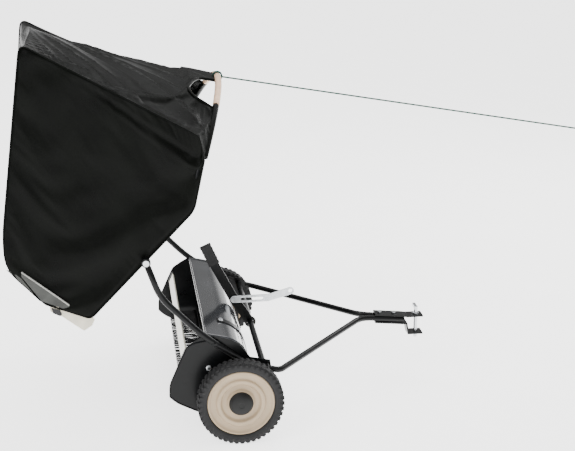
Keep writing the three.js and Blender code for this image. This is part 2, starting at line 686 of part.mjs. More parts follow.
// The rear panel's surface: u runs from the peak edge to the bow, y across the machine.
function rearPanelAt(u, y) {
  const crease = 0.86;
  const edge = u < crease
    ? lerp(bagPeak, bagCrease, u / crease)
    : lerp(bagCrease, bowFoot, (u - crease) / (1 - crease));
  const ridge = lerp(bagPeak, bowTop, u);
  const across = Math.min(Math.abs(y) / bagY, 1) ** 2;
  return lerp(ridge, edge, across);
}

function rearPanel() {
  const us = [0, 0.25, 0.5, 0.7, 0.86, 0.93];
  const half = bagY - FABRIC - GAP;
  const ys = [-1, -0.75, -0.5, -0.25, 0, 0.25, 0.5, 0.75, 1].map((share) => share * half);
  const vertices = [];
  const lift = (u) => (u === 0 ? FABRIC * 2 : 0);
  for (const depth of [0, FABRIC]) {
    for (const u of us) {
      for (const y of ys) {
        const [x, z] = rearPanelAt(u, y);
        vertices.push(x - depth * 0.45 + lift(u) * 0.9, y, z - depth * 0.9 - lift(u) * 0.5);
      }
    }
  }
  const columns = ys.length;
  const layer = us.length * columns;
  const index = [];
  const quad = (a, b, c, d) => index.push(a, b, c, a, c, d);
  const cell = (row, column) => row * columns + column;
  for (let row = 0; row < us.length - 1; row += 1) {
    for (let column = 0; column < columns - 1; column += 1) {
      const [a, b] = [cell(row, column), cell(row, column + 1)];
      const [c, d] = [cell(row + 1, column + 1), cell(row + 1, column)];
      quad(a, d, c, b);
      quad(a + layer, b + layer, c + layer, d + layer);
    }
  }
  for (let column = 0; column < columns - 1; column += 1) {
    const first = cell(0, column);
    const last = cell(us.length - 1, column);
    quad(first, first + 1, first + 1 + layer, first + layer);
    quad(last + 1, last, last + layer, last + 1 + layer);
  }
  for (let row = 0; row < us.length - 1; row += 1) {
    const [near, far] = [cell(row, 0), cell(row, columns - 1)];
    quad(near + columns, near, near + layer, near + columns + layer);
    quad(far, far + columns, far + columns + layer, far + layer);
  }
  const geometry = new THREE.BufferGeometry();
  geometry.setAttribute('position', new THREE.Float32BufferAttribute(vertices, 3));
  geometry.setIndex(index);
  add('bag_rear', outward(geometry), vinyl);
}

function bag() {
  for (const [name, side] of sides) {
    const wall = slab(bagOutline, [], side * (bagY - FABRIC), side * bagY);
    add(`${name}_bag_side`, wall, vinyl);
  }
  const half = bagY - FABRIC - GAP;
  const shell = inset(bagOutline, FABRIC / 2 + GAP);
  const [peak, , , , , lower, apron, bend] = shell;
  const floor = [lerp(bend, peak, 0.004), lerp(bend, peak, 0.985)];
  add('bag_floor', sheet(floor, FABRIC, -half, half), vinyl);
  const front = [lerp(lower, apron, 0.2), apron, lerp(apron, bend, 0.97)];
  add('bag_apron', sheet(front, FABRIC, -half, half), vinyl);
}

function pivotPin(name, side) {
  const head = armY + TUBE_RADIUS + GAP;
  const profile = [
    [0, bagY + GAP], [PIVOT_RADIUS, bagY + GAP], [PIVOT_RADIUS, head], [PIVOT_HEAD_RADIUS, head],
    [PIVOT_HEAD_RADIUS, head + PIVOT_HEAD_THICKNESS], [0, head + PIVOT_HEAD_THICKNESS],
  ];
  const place = [hopperPivot[0], 0, hopperPivot[1]];
  add(`${name}_pivot_pin`, turned(profile.map(([r, a]) => [r, a * side]), 12), zinc, place);
}

// ---- dump rope -------------------------------------------------------------------------------------

function dumpRope() {
  const inner = BOW_HANDLE_RADIUS + GAP * 4;
  const knotRadius = inner + KNOT_WALL;
  const knot = [[inner, -5], [knotRadius, -5], [knotRadius, 5], [inner, 5]];
  add('rope_knot', turned(knot, 12), ropeFibre, [bowTop[0], 0, bowTop[1]]);
  const lead = at(ropeEnd).sub(at(bowTop)).normalize();
  const start = at(bowTop).addScaledVector(lead, knotRadius + GAP);
  const end = at(ropeEnd).addScaledVector(lead, -TOGGLE_RADIUS - GAP);
  const steps = 70;
  const points = Array.from({ length: steps + 1 }, (_, i) => start.clone().lerp(end, i / steps));
  add('dump_rope', tube(points, ROPE_RADIUS, 8), ropeFibre);
  const halfToggle = TOGGLE_LENGTH / 2;
  const toggle = [
    [0, -halfToggle], [TOGGLE_RADIUS * 0.8, -halfToggle], [TOGGLE_RADIUS, -halfToggle + 6],
    [TOGGLE_RADIUS, halfToggle - 6], [TOGGLE_RADIUS * 0.8, halfToggle], [0, halfToggle],
  ];
  add('rope_toggle', turned(toggle, 16), gripRubber, [ropeEnd[0], 0, ropeEnd[1]]);
}

// ---- assembly ------------------------------------------------------------------------------------

for (const [name, side] of sides) {
  wheel(name, side);
  axleBolt(name, side);
  pinion(name, side);
  brushBush(name, side);
  sidePanel(name, side);
  hopperArm(name, side);
  pivotPin(name, side);
}
brush();
hood();
rearStrip();
drawbar();
clevis();
heightLever();
lockStrap();
hopperFrame();
bow();
bag();
rearPanel();
dumpRope();

// Stand the machine on its tyres, with the origin below the middle of everything but the rope.
const ropePieces = ['rope_knot', 'dump_rope', 'rope_toggle'];
const extent = new THREE.Box3();
for (const mesh of part.children) {
  if (!ropePieces.includes(mesh.name)) extent.expandByObject(mesh, true);
}
const middle = extent.getCenter(new THREE.Vector3());
part.position.set(-middle.x, -middle.y, -extent.min.z);

export default part;
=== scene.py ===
"""Looks for the tow-behind lawn sweeper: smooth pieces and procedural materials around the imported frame.

Profiles are in millimetres from the wheel axle, X forward and Z up, as the part's own drawing has them.
at() turns them into the frame's metres.
"""
import json
import math
import random

import bpy
from mathutils import Matrix, Vector, noise


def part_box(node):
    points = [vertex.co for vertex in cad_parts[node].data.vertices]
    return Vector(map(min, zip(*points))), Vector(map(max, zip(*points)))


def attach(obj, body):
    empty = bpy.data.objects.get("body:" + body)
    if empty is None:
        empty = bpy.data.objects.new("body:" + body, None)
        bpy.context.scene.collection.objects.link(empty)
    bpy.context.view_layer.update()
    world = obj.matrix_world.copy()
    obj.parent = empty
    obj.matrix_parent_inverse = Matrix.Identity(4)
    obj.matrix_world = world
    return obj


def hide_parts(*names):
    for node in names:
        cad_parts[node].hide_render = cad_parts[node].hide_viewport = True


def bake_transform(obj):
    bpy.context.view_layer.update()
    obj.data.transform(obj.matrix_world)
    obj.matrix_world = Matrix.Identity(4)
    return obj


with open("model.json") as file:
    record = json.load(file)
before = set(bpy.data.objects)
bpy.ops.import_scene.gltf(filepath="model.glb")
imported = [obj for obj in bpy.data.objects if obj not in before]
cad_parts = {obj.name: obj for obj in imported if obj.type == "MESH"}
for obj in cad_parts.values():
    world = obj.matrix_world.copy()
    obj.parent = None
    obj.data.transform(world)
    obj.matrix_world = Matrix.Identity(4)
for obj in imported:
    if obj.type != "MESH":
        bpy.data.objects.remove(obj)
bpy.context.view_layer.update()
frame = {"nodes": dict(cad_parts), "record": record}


# ---- places from the frame -------------------------------------------------------------------------

def span(node):
    low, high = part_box(node)
    return Vector(low), Vector(high)


def middle(node):
    low, high = span(node)
    return (low + high) / 2


AXLE = middle("right_tyre")
WHEEL_Y = -AXLE.y
WHEEL_R = (span("right_tyre")[1].x - span("right_tyre")[0].x) / 2
TYRE_HALF = (span("right_tyre")[1].y - span("right_tyre")[0].y) / 2
PANEL_Y = span("left_side_panel")[1].y
ARM_Y = middle("left_hopper_arm").y
TUBE_R = 0.011
BAG_Y = span("left_bag_side")[1].y
FRAME_Y = middle("left_hopper_frame").y
FRAME_R = 0.008
FLOOR_Z = span("right_tyre")[0].z


def at(x, z, y=0.0):
    """A point of the side profile, in millimetres from the axle, with y in metres."""
    return Vector((AXLE.x + x / 1000, y, AXLE.z + z / 1000))


# ---- camera ----------------------------------------------------------------------------------------

CAMERA_FROM_AXLE = Vector((-0.4116, -4.6476, 1.8927))
CAMERA_DOWN = math.radians(16.77)
CAMERA_YAW = math.radians(7.92)
CAMERA_LENS = 81.39
CAMERA_SENSOR = 36
camera_data = bpy.data.cameras.new("camera")
camera_data.lens = CAMERA_LENS
camera_data.sensor_width = CAMERA_SENSOR
camera = bpy.data.objects.new("camera", camera_data)
camera.location = Vector((AXLE.x, 0, AXLE.z)) + CAMERA_FROM_AXLE
camera.rotation_euler = (math.pi / 2 - CAMERA_DOWN, 0, -CAMERA_YAW)
bpy.context.scene.collection.objects.link(camera)
bpy.context.scene.camera = camera


# ---- materials -------------------------------------------------------------------------------------

def shader(name, base, rough, metal=0.0, grain=40.0, spread=0.25, rough_spread=0.08, bump=0.1,
           bump_scale=400.0, coat=0.0, specular=0.5, wear=None, weave=0.0, stretch=(1, 1, 1)):
    """A principled material whose colour, roughness and relief vary over the surface."""
    mat = bpy.data.materials.new(name)
    mat.use_nodes = True
    tree = mat.node_tree
    link = tree.links.new
    bsdf = tree.nodes["Principled BSDF"]
    bsdf.inputs["Metallic"].default_value = metal
    bsdf.inputs["Specular IOR Level"].default_value = specular
    bsdf.inputs["Coat Weight"].default_value = coat
    bsdf.inputs["Coat Roughness"].default_value = 0.12
    coords = tree.nodes.new("ShaderNodeTexCoord")
    mapping = tree.nodes.new("ShaderNodeMapping")
    mapping.inputs["Scale"].default_value = stretch
    link(coords.outputs["Object"], mapping.inputs["Vector"])

    def noise_node(scale, detail=4.0):
        node = tree.nodes.new("ShaderNodeTexNoise")
        node.inputs["Scale"].default_value = scale
        node.inputs["Detail"].default_value = detail
        link(mapping.outputs["Vector"], node.inputs["Vector"])
        return node

    patches = noise_node(grain)
    ramp = tree.nodes.new("ShaderNodeValToRGB")
    low = [c * (1 - spread) for c in base]
    high = [min(c * (1 + spread), 1.0) for c in base]
    ramp.color_ramp.elements[0].position = 0.3
    ramp.color_ramp.elements[0].color = (*low, 1)
    ramp.color_ramp.elements[1].position = 0.7
    ramp.color_ramp.elements[1].color = (*high, 1)
    link(patches.outputs["Fac"], ramp.inputs["Fac"])
    colour = ramp.outputs["Color"]
    if wear is not None:
        edges = noise_node(grain * 3.1, 8.0)
        mask = tree.nodes.new("ShaderNodeValToRGB")
        mask.color_ramp.elements[0].position = 0.66
        mask.color_ramp.elements[1].position = 0.74
        mask.color_ramp.elements[1].color = (0.5, 0.5, 0.5, 1)
        link(edges.outputs["Fac"], mask.inputs["Fac"])
        mix = tree.nodes.new("ShaderNodeMix")
        mix.data_type = "RGBA"
        link(mask.outputs["Color"], mix.inputs[0])
        link(colour, mix.inputs[6])
        mix.inputs[7].default_value = (*wear, 1)
        colour = mix.outputs[2]
    link(colour, bsdf.inputs["Base Color"])
    ranged = tree.nodes.new("ShaderNodeMapRange")
    ranged.inputs["To Min"].default_value = max(rough - rough_spread, 0.02)
    ranged.inputs["To Max"].default_value = min(rough + rough_spread, 1.0)
    link(patches.outputs["Fac"], ranged.inputs["Value"])
    link(ranged.outputs["Result"], bsdf.inputs["Roughness"])
    relief = tree.nodes.new("ShaderNodeBump")
    relief.inputs["Strength"].default_value = bump
    relief.inputs["Distance"].default_value = 0.001
    fine = noise_node(bump_scale, 3.0)
    height = fine.outputs["Fac"]
    if weave:
        threads = []
        for direction in ("X", "Z"):
            wave = tree.nodes.new("ShaderNodeTexWave")
            wave.bands_direction = direction
            wave.inputs["Scale"].default_value = weave
            wave.inputs["Distortion"].default_value = 0.6
            link(coords.outputs["Object"], wave.inputs["Vector"])
            threads.append(wave.outputs["Fac"])
        crossed = tree.nodes.new("ShaderNodeMath")
        crossed.operation = "MULTIPLY"
        link(threads[0], crossed.inputs[0])
        link(threads[1], crossed.inputs[1])
        total = tree.nodes.new("ShaderNodeMath")
        total.operation = "ADD"
        link(crossed.outputs[0], total.inputs[0])
        link(height, total.inputs[1])
        height = total.outputs[0]
    link(height, relief.inputs["Height"])
    link(relief.outputs["Normal"], bsdf.inputs["Normal"])
    return mat


DUST = (0.07, 0.066, 0.06)
MATERIALS = {}


def material(name, *args, **settings):
    MATERIALS[name] = shader(name, *args, **settings)


material("black_paint", (0.003, 0.0033, 0.0036), 0.3, grain=22, bump=0.12, bump_scale=500, specular=0.16,
         coat=0.04, wear=(0.012, 0.012, 0.012))
# Painted reflection: the hood's black paint has its base colour raised to a mid grey, standing in for the
# bright surroundings it reflects.
material("hood_paint", (0.045, 0.047, 0.052), 0.13, grain=9, rough_spread=0.05, bump=0.05,
         bump_scale=160, specular=0.7, coat=1.0)
material("tyre_rubber", (0.013, 0.013, 0.0135), 0.72, grain=30, bump=0.5, bump_scale=260, specular=0.3,
         wear=DUST)
material("cream_plastic", (0.4, 0.305, 0.2), 0.42, grain=14, spread=0.06, bump=0.12, bump_scale=320,
         specular=0.4)
material("dark_plastic", (0.009, 0.0092, 0.009), 0.5, grain=30, bump=0.3, bump_scale=700, specular=0.2)
material("gear_plastic", (0.6, 0.57, 0.48), 0.45, grain=30, spread=0.08, bump=0.1)
material("core_plastic", (0.012, 0.012, 0.013), 0.5, grain=30, bump=0.2, specular=0.35)
material("zinc", (0.62, 0.64, 0.66), 0.3, metal=1.0, grain=60, spread=0.14, rough_spread=0.12, bump=0.15,
         bump_scale=240)
material("bare_steel", (0.42, 0.43, 0.44), 0.3, metal=1.0, grain=80, bump=0.2, bump_scale=300,
         stretch=(1, 0.1, 1))
material("bristle", (0.01, 0.01, 0.011), 0.5, grain=120, spread=0.5, bump=0.1, specular=0.3)
material("vinyl", (0.0016, 0.002, 0.0014), 0.3, grain=7, spread=0.4, rough_spread=0.1, bump=0.3,
         bump_scale=55, weave=180.0, specular=0.06)
# Painted sheen: the bag's black vinyl lightened to grey, standing in for light catching the folded apron, not
# wear.
material("vinyl_painted_sheen", (0.05, 0.052, 0.048), 0.4, grain=16, spread=0.4, bump=0.3, bump_scale=80,
         weave=180.0, specular=0.25)
# Painted highlight: pale grey piping standing for the bright line of light along the folded apron's edge.
material("pale_edge", (0.3, 0.3, 0.28), 0.6, grain=60, spread=0.3, bump=0.2)
material("canvas", (0.74, 0.69, 0.56), 0.8, grain=18, spread=0.16, bump=0.6, bump_scale=120, weave=240.0)
material("tan_tube", (0.80, 0.55, 0.38), 0.42, grain=35, spread=0.1, bump=0.1, wear=(0.85, 0.7, 0.55))
material("cream_strip", (0.78, 0.76, 0.62), 0.3, grain=12, spread=0.08, bump=0.08, bump_scale=200, coat=0.3)
material("rope_fibre", (0.012, 0.06, 0.045), 0.8, grain=300, spread=0.6, bump=0.8, bump_scale=900)
material("grip_rubber", (0.009, 0.009, 0.0095), 0.6, grain=60, bump=0.4, bump_scale=600, specular=0.3)

for entry in frame["record"]["subparts"]:
    for slot in frame["nodes"][entry["node"]].material_slots:
        slot.material = MATERIALS[entry["material_slot"]]


# ---- mesh helpers ----------------------------------------------------------------------------------


def make(name, verts, faces, look, body=None, replaced=(), sharp=35.0):
    """A smooth-shaded mesh piece with a look, in that look's record slot, riding on a body."""
    mesh = bpy.data.meshes.new(name)
    mesh.from_pydata([tuple(v) for v in verts], [], faces)
    mesh.validate()
    mesh.update()
    obj = bpy.data.objects.new(name, mesh)
    bpy.context.scene.collection.objects.link(obj)
    mesh.polygons.foreach_set("use_smooth", [True] * len(mesh.polygons))
    mesh.set_sharp_from_angle(angle=math.radians(sharp))
    mesh.materials.append(MATERIALS[look])
    if replaced:
        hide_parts(*replaced)
    if body:
        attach(obj, body)
    return obj


class Build:
    """Vertices and faces gathered from several shapes into one piece."""

    def __init__(self):
        self.verts = []
        self.faces = []

    def add(self, verts, faces):
        start = len(self.verts)
        self.verts.extend(Vector(v) for v in verts)
        self.faces.extend([start + i for i in face] for face in faces)

    def place(self, shape, turn, centre):
        """Adds a shape turned by a matrix and moved to centre."""
        verts, faces = shape
        self.add([turn @ v + centre for v in verts], faces)

    def piece(self, name, look, body, replaced=(), sharp=35.0):
        return make(name, self.verts, self.faces, look, body, replaced, sharp)


def circle(centre, u, v, radius, sides):
    angles = [2 * math.pi * k / sides for k in range(sides)]
    return [centre + u * (radius * math.cos(a)) + v * (radius * math.sin(a)) for a in angles]


def prism_faces(n):
    """The faces between two like outlines of n corners each."""
    faces = [list(range(n)), [n + i for i in reversed(range(n))]]
    return faces + [[i, n + i, n + (i + 1) % n, (i + 1) % n] for i in range(n)]


def tube_faces(rings, sides):
    """The faces of a tube of like rings, open at both ends."""
    faces = []
    for i in range(rings - 1):
        for k in range(sides):
            j = (k + 1) % sides
            faces.append([i * sides + k, i * sides + j, (i + 1) * sides + j, (i + 1) * sides + k])
    return faces


def lathe(profile, centre, segments=72, axis="Y"):
    """A profile of (radius, along) turned about a line. Each point on the line is one vertex."""
    rings = []
    verts = []
    for radius, along in profile:
        if radius < 1e-6:
            verts.append((0, along, 0))
            rings.append([len(verts) - 1])
            continue
        start = len(verts)
        for i in range(segments):
            angle = 2 * math.pi * i / segments
            verts.append((radius * math.sin(angle), along, radius * math.cos(angle)))
        rings.append(list(range(start, start + segments)))
    if profile[0][0] > 1e-6:
        rings.append(rings[0])
    faces = []
    for a, b in zip(rings, rings[1:]):
        for i in range(segments):
            j = (i + 1) % segments
            if len(a) == 1:
                faces.append([a[0], b[j], b[i]])
            elif len(b) == 1:
                faces.append([a[i], a[j], b[0]])
            else:
                faces.append([a[i], a[j], b[j], b[i]])
    if axis == "X":
        verts = [(y, x, z) for x, y, z in verts]
    centre = Vector(centre)
    return [Vector(v) + centre for v in verts], faces


def curve(start, here, end, steps):
    """A quadratic curve from start to end that bends towards here."""
    places = [k / steps for k in range(steps + 1)]
    return [start * (1 - t) ** 2 + here * 2 * t * (1 - t) + end * t * t for t in places]


def corner(before, here, after, radius, share, steps):
    """A rounded corner that takes at most 1/share of the line on each side of it."""
    back = before - here
    on = after - here
    reach = min(radius, back.length / share, on.length / share)
    if reach < 1e-5:
        return [here]
    return curve(here + back.normalized() * reach, here, here + on.normalized() * reach, steps)


def soften(profile, radius, steps=3):
    """The same closed profile with each corner rounded."""
    count = len(profile)
    out = []
    for i, point in enumerate(profile):
        if point[0] < 1e-6:
            out.append(point)
            continue
        before, here, after = (Vector(profile[j % count]) for j in (i - 1, i, i + 1))
        out.extend(tuple(p) for p in corner(before, here, after, radius, 2.1, steps))
    return out


def rounded_route(points, radius, steps=10):
    route = [points[0]]
    for before, here, after in zip(points, points[1:], points[2:]):
        route.extend(corner(before, here, after, radius, 2.2, steps))
    return route + [points[-1]]


def sweep(route, radius, sides=20, end_round=0.0015):
    """A round bar along a route, its two ends closed with a small chamfer."""
    first = (route[1] - route[0]).normalized()
    last = (route[-1] - route[-2]).normalized()
    stations = [(route[0], radius - end_round), (route[0] + first * end_round, radius)]
    stations += [(point, radius) for point in route[1:-1]]
    stations += [(route[-1] - last * end_round, radius), (route[-1], radius - end_round)]
    up = Vector((0, 1, 0)) if abs(first.y) < 0.8 else Vector((1, 0, 0))
    normal = (up - first * up.dot(first)).normalized()
    verts = []
    count = len(stations)
    for i, (point, size) in enumerate(stations):
        before = stations[max(i - 1, 0)][0]
        after = stations[min(i + 1, count - 1)][0]
        along = (after - before).normalized()
        normal = (normal - along * normal.dot(along)).normalized()
        other = along.cross(normal)
        verts.extend(circle(point, normal, other, size, sides))
    faces = tube_faces(count, sides)
    faces.append(list(range(sides))[::-1])
    faces.append([(count - 1) * sides + k for k in range(sides)])
    return verts, faces


def block(centre, size, turn=None, chamfer=0.0):
    """A box with its long edges chamfered, turned by a matrix."""
    sx, sy, sz = (s / 2 for s in size)
    c = min(chamfer, sx * 0.9, sz * 0.9)
    outline = [(-sx + c, -sz), (sx - c, -sz), (sx, -sz + c), (sx, sz - c), (sx - c, sz), (-sx + c, sz),
               (-sx, sz - c), (-sx, -sz + c)]
    if c < 1e-6:
        outline = [(-sx, -sz), (sx, -sz), (sx, sz), (-sx, sz)]
    verts = [Vector((x, y, z)) for y in (-sy, sy) for x, z in outline]
    turn = turn or Matrix.Identity(3)
    return [turn @ v + Vector(centre) for v in verts], prism_faces(len(outline))


def single(shape, name, look, body, replaced=(), sharp=35.0):
    """A piece that is one shape."""
    return make(name, *shape, look, body, replaced, sharp)


def bar(name, route, radius, sides, look, body, replaced=(), sharp=45):
    """A piece that is one round bar along a route."""
    return single(sweep(route, radius, sides), name, look, body, replaced, sharp)


def bolt(build, centre, direction, radius=0.007, height=0.005, washer=0.0095):
    """A hex head on a round washer, standing along direction."""
    along = Vector(direction).normalized()
    side = Vector((0, 0, 1)) if abs(along.z) < 0.9 else Vector((1, 0, 0))
    u = along.cross(side).normalized()
    v = along.cross(u)
    centre = Vector(centre)
    for sides, levels in ((20, [(washer, 0), (washer, 0.0012), (washer - 0.0006, 0.0016)]),
                          (6, [(radius, 0.0016), (radius, 0.0016 + height * 0.8),
                               (radius * 0.86, 0.0016 + height)])):
        verts = []
        for size, lift in levels:
            verts.extend(circle(centre + along * lift, u, v, size, sides))
        faces = [list(range(sides)), [2 * sides + k for k in reversed(range(sides))]]
        faces += [face[::-1] for face in tube_faces(3, sides)]
        build.add(verts, faces)


SIDES = (("right", -1), ("left", 1))
BEND_R = 0.045


# ---- wheels ----------------------------------------------------------------------------------------

LUGS = 46
LUG_LEAN = math.radians(24)
RING_TEETH = 50


def tyre(name, side):
    centre = Vector((AXLE.x, side * WHEEL_Y, AXLE.z))
    bead = 0.1183
    half = TYRE_HALF
    crown = WHEEL_R - 0.0024
    profile = [
        (bead, -half + 0.008), (bead + 0.006, -half + 0.002), (crown - 0.012, -half + 0.001),
        (crown - 0.003, -half + 0.005), (crown, -half + 0.013), (crown + 0.0006, 0), (crown, half - 0.013),
        (crown - 0.003, half - 0.005), (crown - 0.012, half - 0.001), (bead + 0.006, half - 0.002),
        (bead, half - 0.008),
    ]
    build = Build()
    build.add(*lathe(soften(profile, 0.004), centre, 128))
    for i in range(LUGS):
        for edge in (-1, 1):
            turn = Matrix.Rotation(2 * math.pi * (i + (0.5 if edge > 0 else 0)) / LUGS, 3, "Y")
            lean = Matrix.Rotation(edge * LUG_LEAN, 3, "Z")
            lug = block((0, edge * (half - 0.0155), crown - 0.0005), (0.0128, 0.022, 0.005), lean, 0.001)
            build.place(lug, turn, centre)
            wall = block((0, edge * (half - 0.0022), crown - 0.0105), (0.0095, 0.0035, 0.013), None, 0.001)
            build.place(wall, turn, centre)
        turn = Matrix.Rotation(2 * math.pi * (i + 0.25) / LUGS, 3, "Y")
        build.place(block((0, 0, crown - 0.0005), (0.0135, 0.010, 0.005), None, 0.001), turn, centre)
    build.piece(f"{name}_tyre_tread", "tyre_rubber", f"{name}_wheel", [f"{name}_tyre"], 40)


def rim(name, side):
    centre = Vector((AXLE.x, side * WHEEL_Y, AXLE.z))
    outer = 0.118
    hub = 0.024
    seat = 0.100
    profile = [
        (0.0104, -hub), (0.026, -hub), (0.026, 0.004), (seat, 0.004), (seat, -hub), (outer, -hub),
        (outer, hub - 0.002), (outer - 0.005, hub), (outer - 0.012, 0.0165), (outer - 0.030, 0.0125),
        (outer - 0.034, 0.0205), (outer - 0.046, 0.0205), (outer - 0.052, 0.0095), (0.050, 0.0095),
        (0.0455, hub - 0.004), (0.0104, hub - 0.004),
    ]
    build = Build()
    build.add(*lathe(soften([(r, a * side) for r, a in profile], 0.0035), centre, 128))
    depth = 0.015
    start = -side * (hub - 0.001)
    for i in range(RING_TEETH):
        middle_angle = math.pi + 2 * math.pi * i / RING_TEETH
        section = [(0.101, -0.0029), (0.0934, -0.0027), (0.0874, -0.0014), (0.0874, 0.0014), (0.0934, 0.0027),
                   (0.101, 0.0029)]
        verts = []
        for along in (start, start + side * depth):
            for radius, across in section:
                angle = middle_angle + across / radius
                verts.append(centre + Vector((radius * math.cos(angle), along, radius * math.sin(angle))))
        build.add(verts, prism_faces(len(section)))
    build.piece(f"{name}_rim_moulding", "cream_plastic", f"{name}_wheel", [f"{name}_rim"], 40)


def hub_cap(name, side):
    low, high = span(f"{name}_hub_cap")
    base = low.y if side > 0 else high.y
    height = high.y - low.y
    radius = (high.x - low.x) / 2
    profile = [
        (0, 0), (1, 0), (1, 0.22), (0.97, 0.34), (0.90, 0.40), (0.86, 0.62), (0.72, 0.80), (0.5, 0.92),
        (0.26, 0.98), (0.22, 0.93), (0, 0.95),
    ]
    scaled = [(r * radius, a * height * side) for r, a in profile]
    dome = lathe(soften(scaled, 0.002), (AXLE.x, base, AXLE.z), 72)
    single(dome, f"{name}_hub_cap_dome", "dark_plastic", f"{name}_wheel", [f"{name}_hub_cap"], 50)


# ---- brush -----------------------------------------------------------------------------------------

TUFTS = 74
TUFT_BRISTLES = 11
BRISTLE_R = 0.0006
BRISTLE_RING = [Vector((0, BRISTLE_R, 0)), Vector((0, -BRISTLE_R / 2, BRISTLE_R)),
                Vector((0, -BRISTLE_R / 2, -BRISTLE_R))]
BRISTLE_FACES = [[0, 2, 1], [3, 4, 5], [0, 1, 4, 3], [1, 2, 5, 4], [2, 0, 3, 5]]


def brush_rows():
    shaft = middle("brush_shaft")
    low, high = span("brush_row_1")
    core_low, core_high = span("brush_core")
    inner = (core_high.x - core_low.x) / 2
    outer = high.x - shaft.x
    length = high.y - low.y
    rng = random.Random(7)
    for row in range(4):
        build = Build()
        turn = Matrix.Rotation(row * math.pi / 2, 3, "Y")
        build.place(block((inner + 0.006, 0, 0), (0.011, length, 0.0085), None, 0.002), turn, shaft)
        for i in range(TUFTS):
            y = -length / 2 + length * (i + 0.5) / TUFTS
            for _ in range(TUFT_BRISTLES):
                spread = rng.uniform(-1, 1)
                drift = rng.uniform(-1, 1)
                base = Vector((inner + 0.010, y + drift * 0.003, spread * 0.002))
                tip = Vector((outer - rng.uniform(0, 0.004), y + drift * 0.008, spread * 0.0043))
                verts = [base + r for r in BRISTLE_RING] + [tip + r * 0.7 for r in BRISTLE_RING]
                build.place((verts, BRISTLE_FACES), turn, shaft)
        build.piece(f"brush_bristles_{row + 1}", "bristle", "brush", [f"brush_row_{row + 1}"])


# ---- housing ---------------------------------------------------------------------------------------

HOOD_FRONT = [(84, -70), (75, -62), (38, 118)]
HOOD_CROWN = (20, 200)
HOOD_REAR = [(-60, 212), (-112, 224)]


def hood_line(steps=24):
    """The hood's middle line as points of the side profile, from its front lip over the crown to the rear."""
    start = Vector(HOOD_FRONT[-1])
    crown = curve(start, Vector(HOOD_CROWN), Vector(HOOD_REAR[0]), steps)
    line = [Vector(p) for p in HOOD_FRONT[:-1]]
    lean = [line[-1].lerp(start, t) for t in (0.25, 0.5, 0.75)]
    return line + lean + crown + [Vector(p) for p in HOOD_REAR[1:]]


def offset_line(line, distance):
    out = []
    for i, point in enumerate(line):
        before = line[max(i - 1, 0)]
        after = line[min(i + 1, len(line) - 1)]
        along = (after - before).normalized()
        out.append(point + Vector((along.y, -along.x)) * distance)
    return out


def bent_sheet(line, thickness, y0, y1, columns):
    """A closed bent plate along a profile line, between two places across the machine."""
    outer = offset_line(line, thickness / 2)
    inner = offset_line(line, -thickness / 2)
    n = len(line)
    verts = []
    for points in (outer, inner):
        for k in range(columns + 1):
            y = y0 + (y1 - y0) * k / columns
            verts.extend(at(p.x, p.y, y) for p in points)
    faces = []
    layer = (columns + 1) * n
    for k in range(columns):
        for i in range(n - 1):
            a, b, c, d = k * n + i, k * n + i + 1, (k + 1) * n + i + 1, (k + 1) * n + i
            faces.append([a, b, c, d])
            faces.append([layer + a, layer + d, layer + c, layer + b])
        first, last = k * n, k * n + n - 1
        faces.append([first, first + n, first + n + layer, first + layer])
        faces.append([last + n, last, last + layer, last + n + layer])
    for i in range(n - 1):
        faces.append([i + 1, i, layer + i, layer + i + 1])
        j = columns * n + i
        faces.append([j, j + 1, layer + j + 1, layer + j])
    return verts, faces


def hood():
    low, high = span("hood")
    line = hood_line()
    build = Build()
    build.add(*bent_sheet(line, 2.5, low.y, high.y, 12))
    lip = at(HOOD_FRONT[0][0], HOOD_FRONT[0][1])
    for x, z, radius in ((lip.x - 0.003, lip.z + 0.004, 0.0035), (lip.x - 0.011, lip.z + 0.028, 0.0022)):
        build.add(*sweep([Vector((x, low.y, z)), Vector((x, high.y, z))], radius, 12))
    tail = at(*HOOD_REAR[-1])
    build.add(*sweep([Vector((tail.x, low.y, tail.z)), Vector((tail.x, high.y, tail.z))], 0.004, 12))
    # The hood shell's grey colour is a painted reflection on black paint.
    build.piece("hood_shell", "hood_paint", "housing", ["hood"], 40)
    ribs = Build()
    edge = offset_line(line[1:], 2.4)
    for y in (low.y + 0.012, high.y - 0.012):
        route = [at(p.x, p.y, y) for p in edge]
        ribs.add(*sweep(route, 0.0022, 8))
    ribs.piece("hood_edge_beads", "hood_paint", "housing")


def hood_band():
    low, high = span("hood_band")
    line = hood_line()[2:-1]
    outer = offset_line(line, 3.3)
    plate_shape = bent_sheet(outer, 2.0, low.y, high.y, 2)
    single(plate_shape, "hood_band_plate", "black_paint", "housing", ["hood_band"], 40)
    bolts = Build()
    lifted = offset_line(line, 4.6)
    y = (low.y + high.y) / 2
    for share in (0.04, 0.45, 0.93):
        i = int(share * (len(line) - 1))
        along = (line[min(i + 1, len(line) - 1)] - line[max(i - 1, 0)]).normalized()
        normal = Vector((along.y, 0, -along.x))
        bolt(bolts, at(lifted[i].x, lifted[i].y, y), normal, 0.0065)
    bolts.piece("hood_band_bolts", "zinc", "housing")


STRIP_LEAN = math.radians(24)


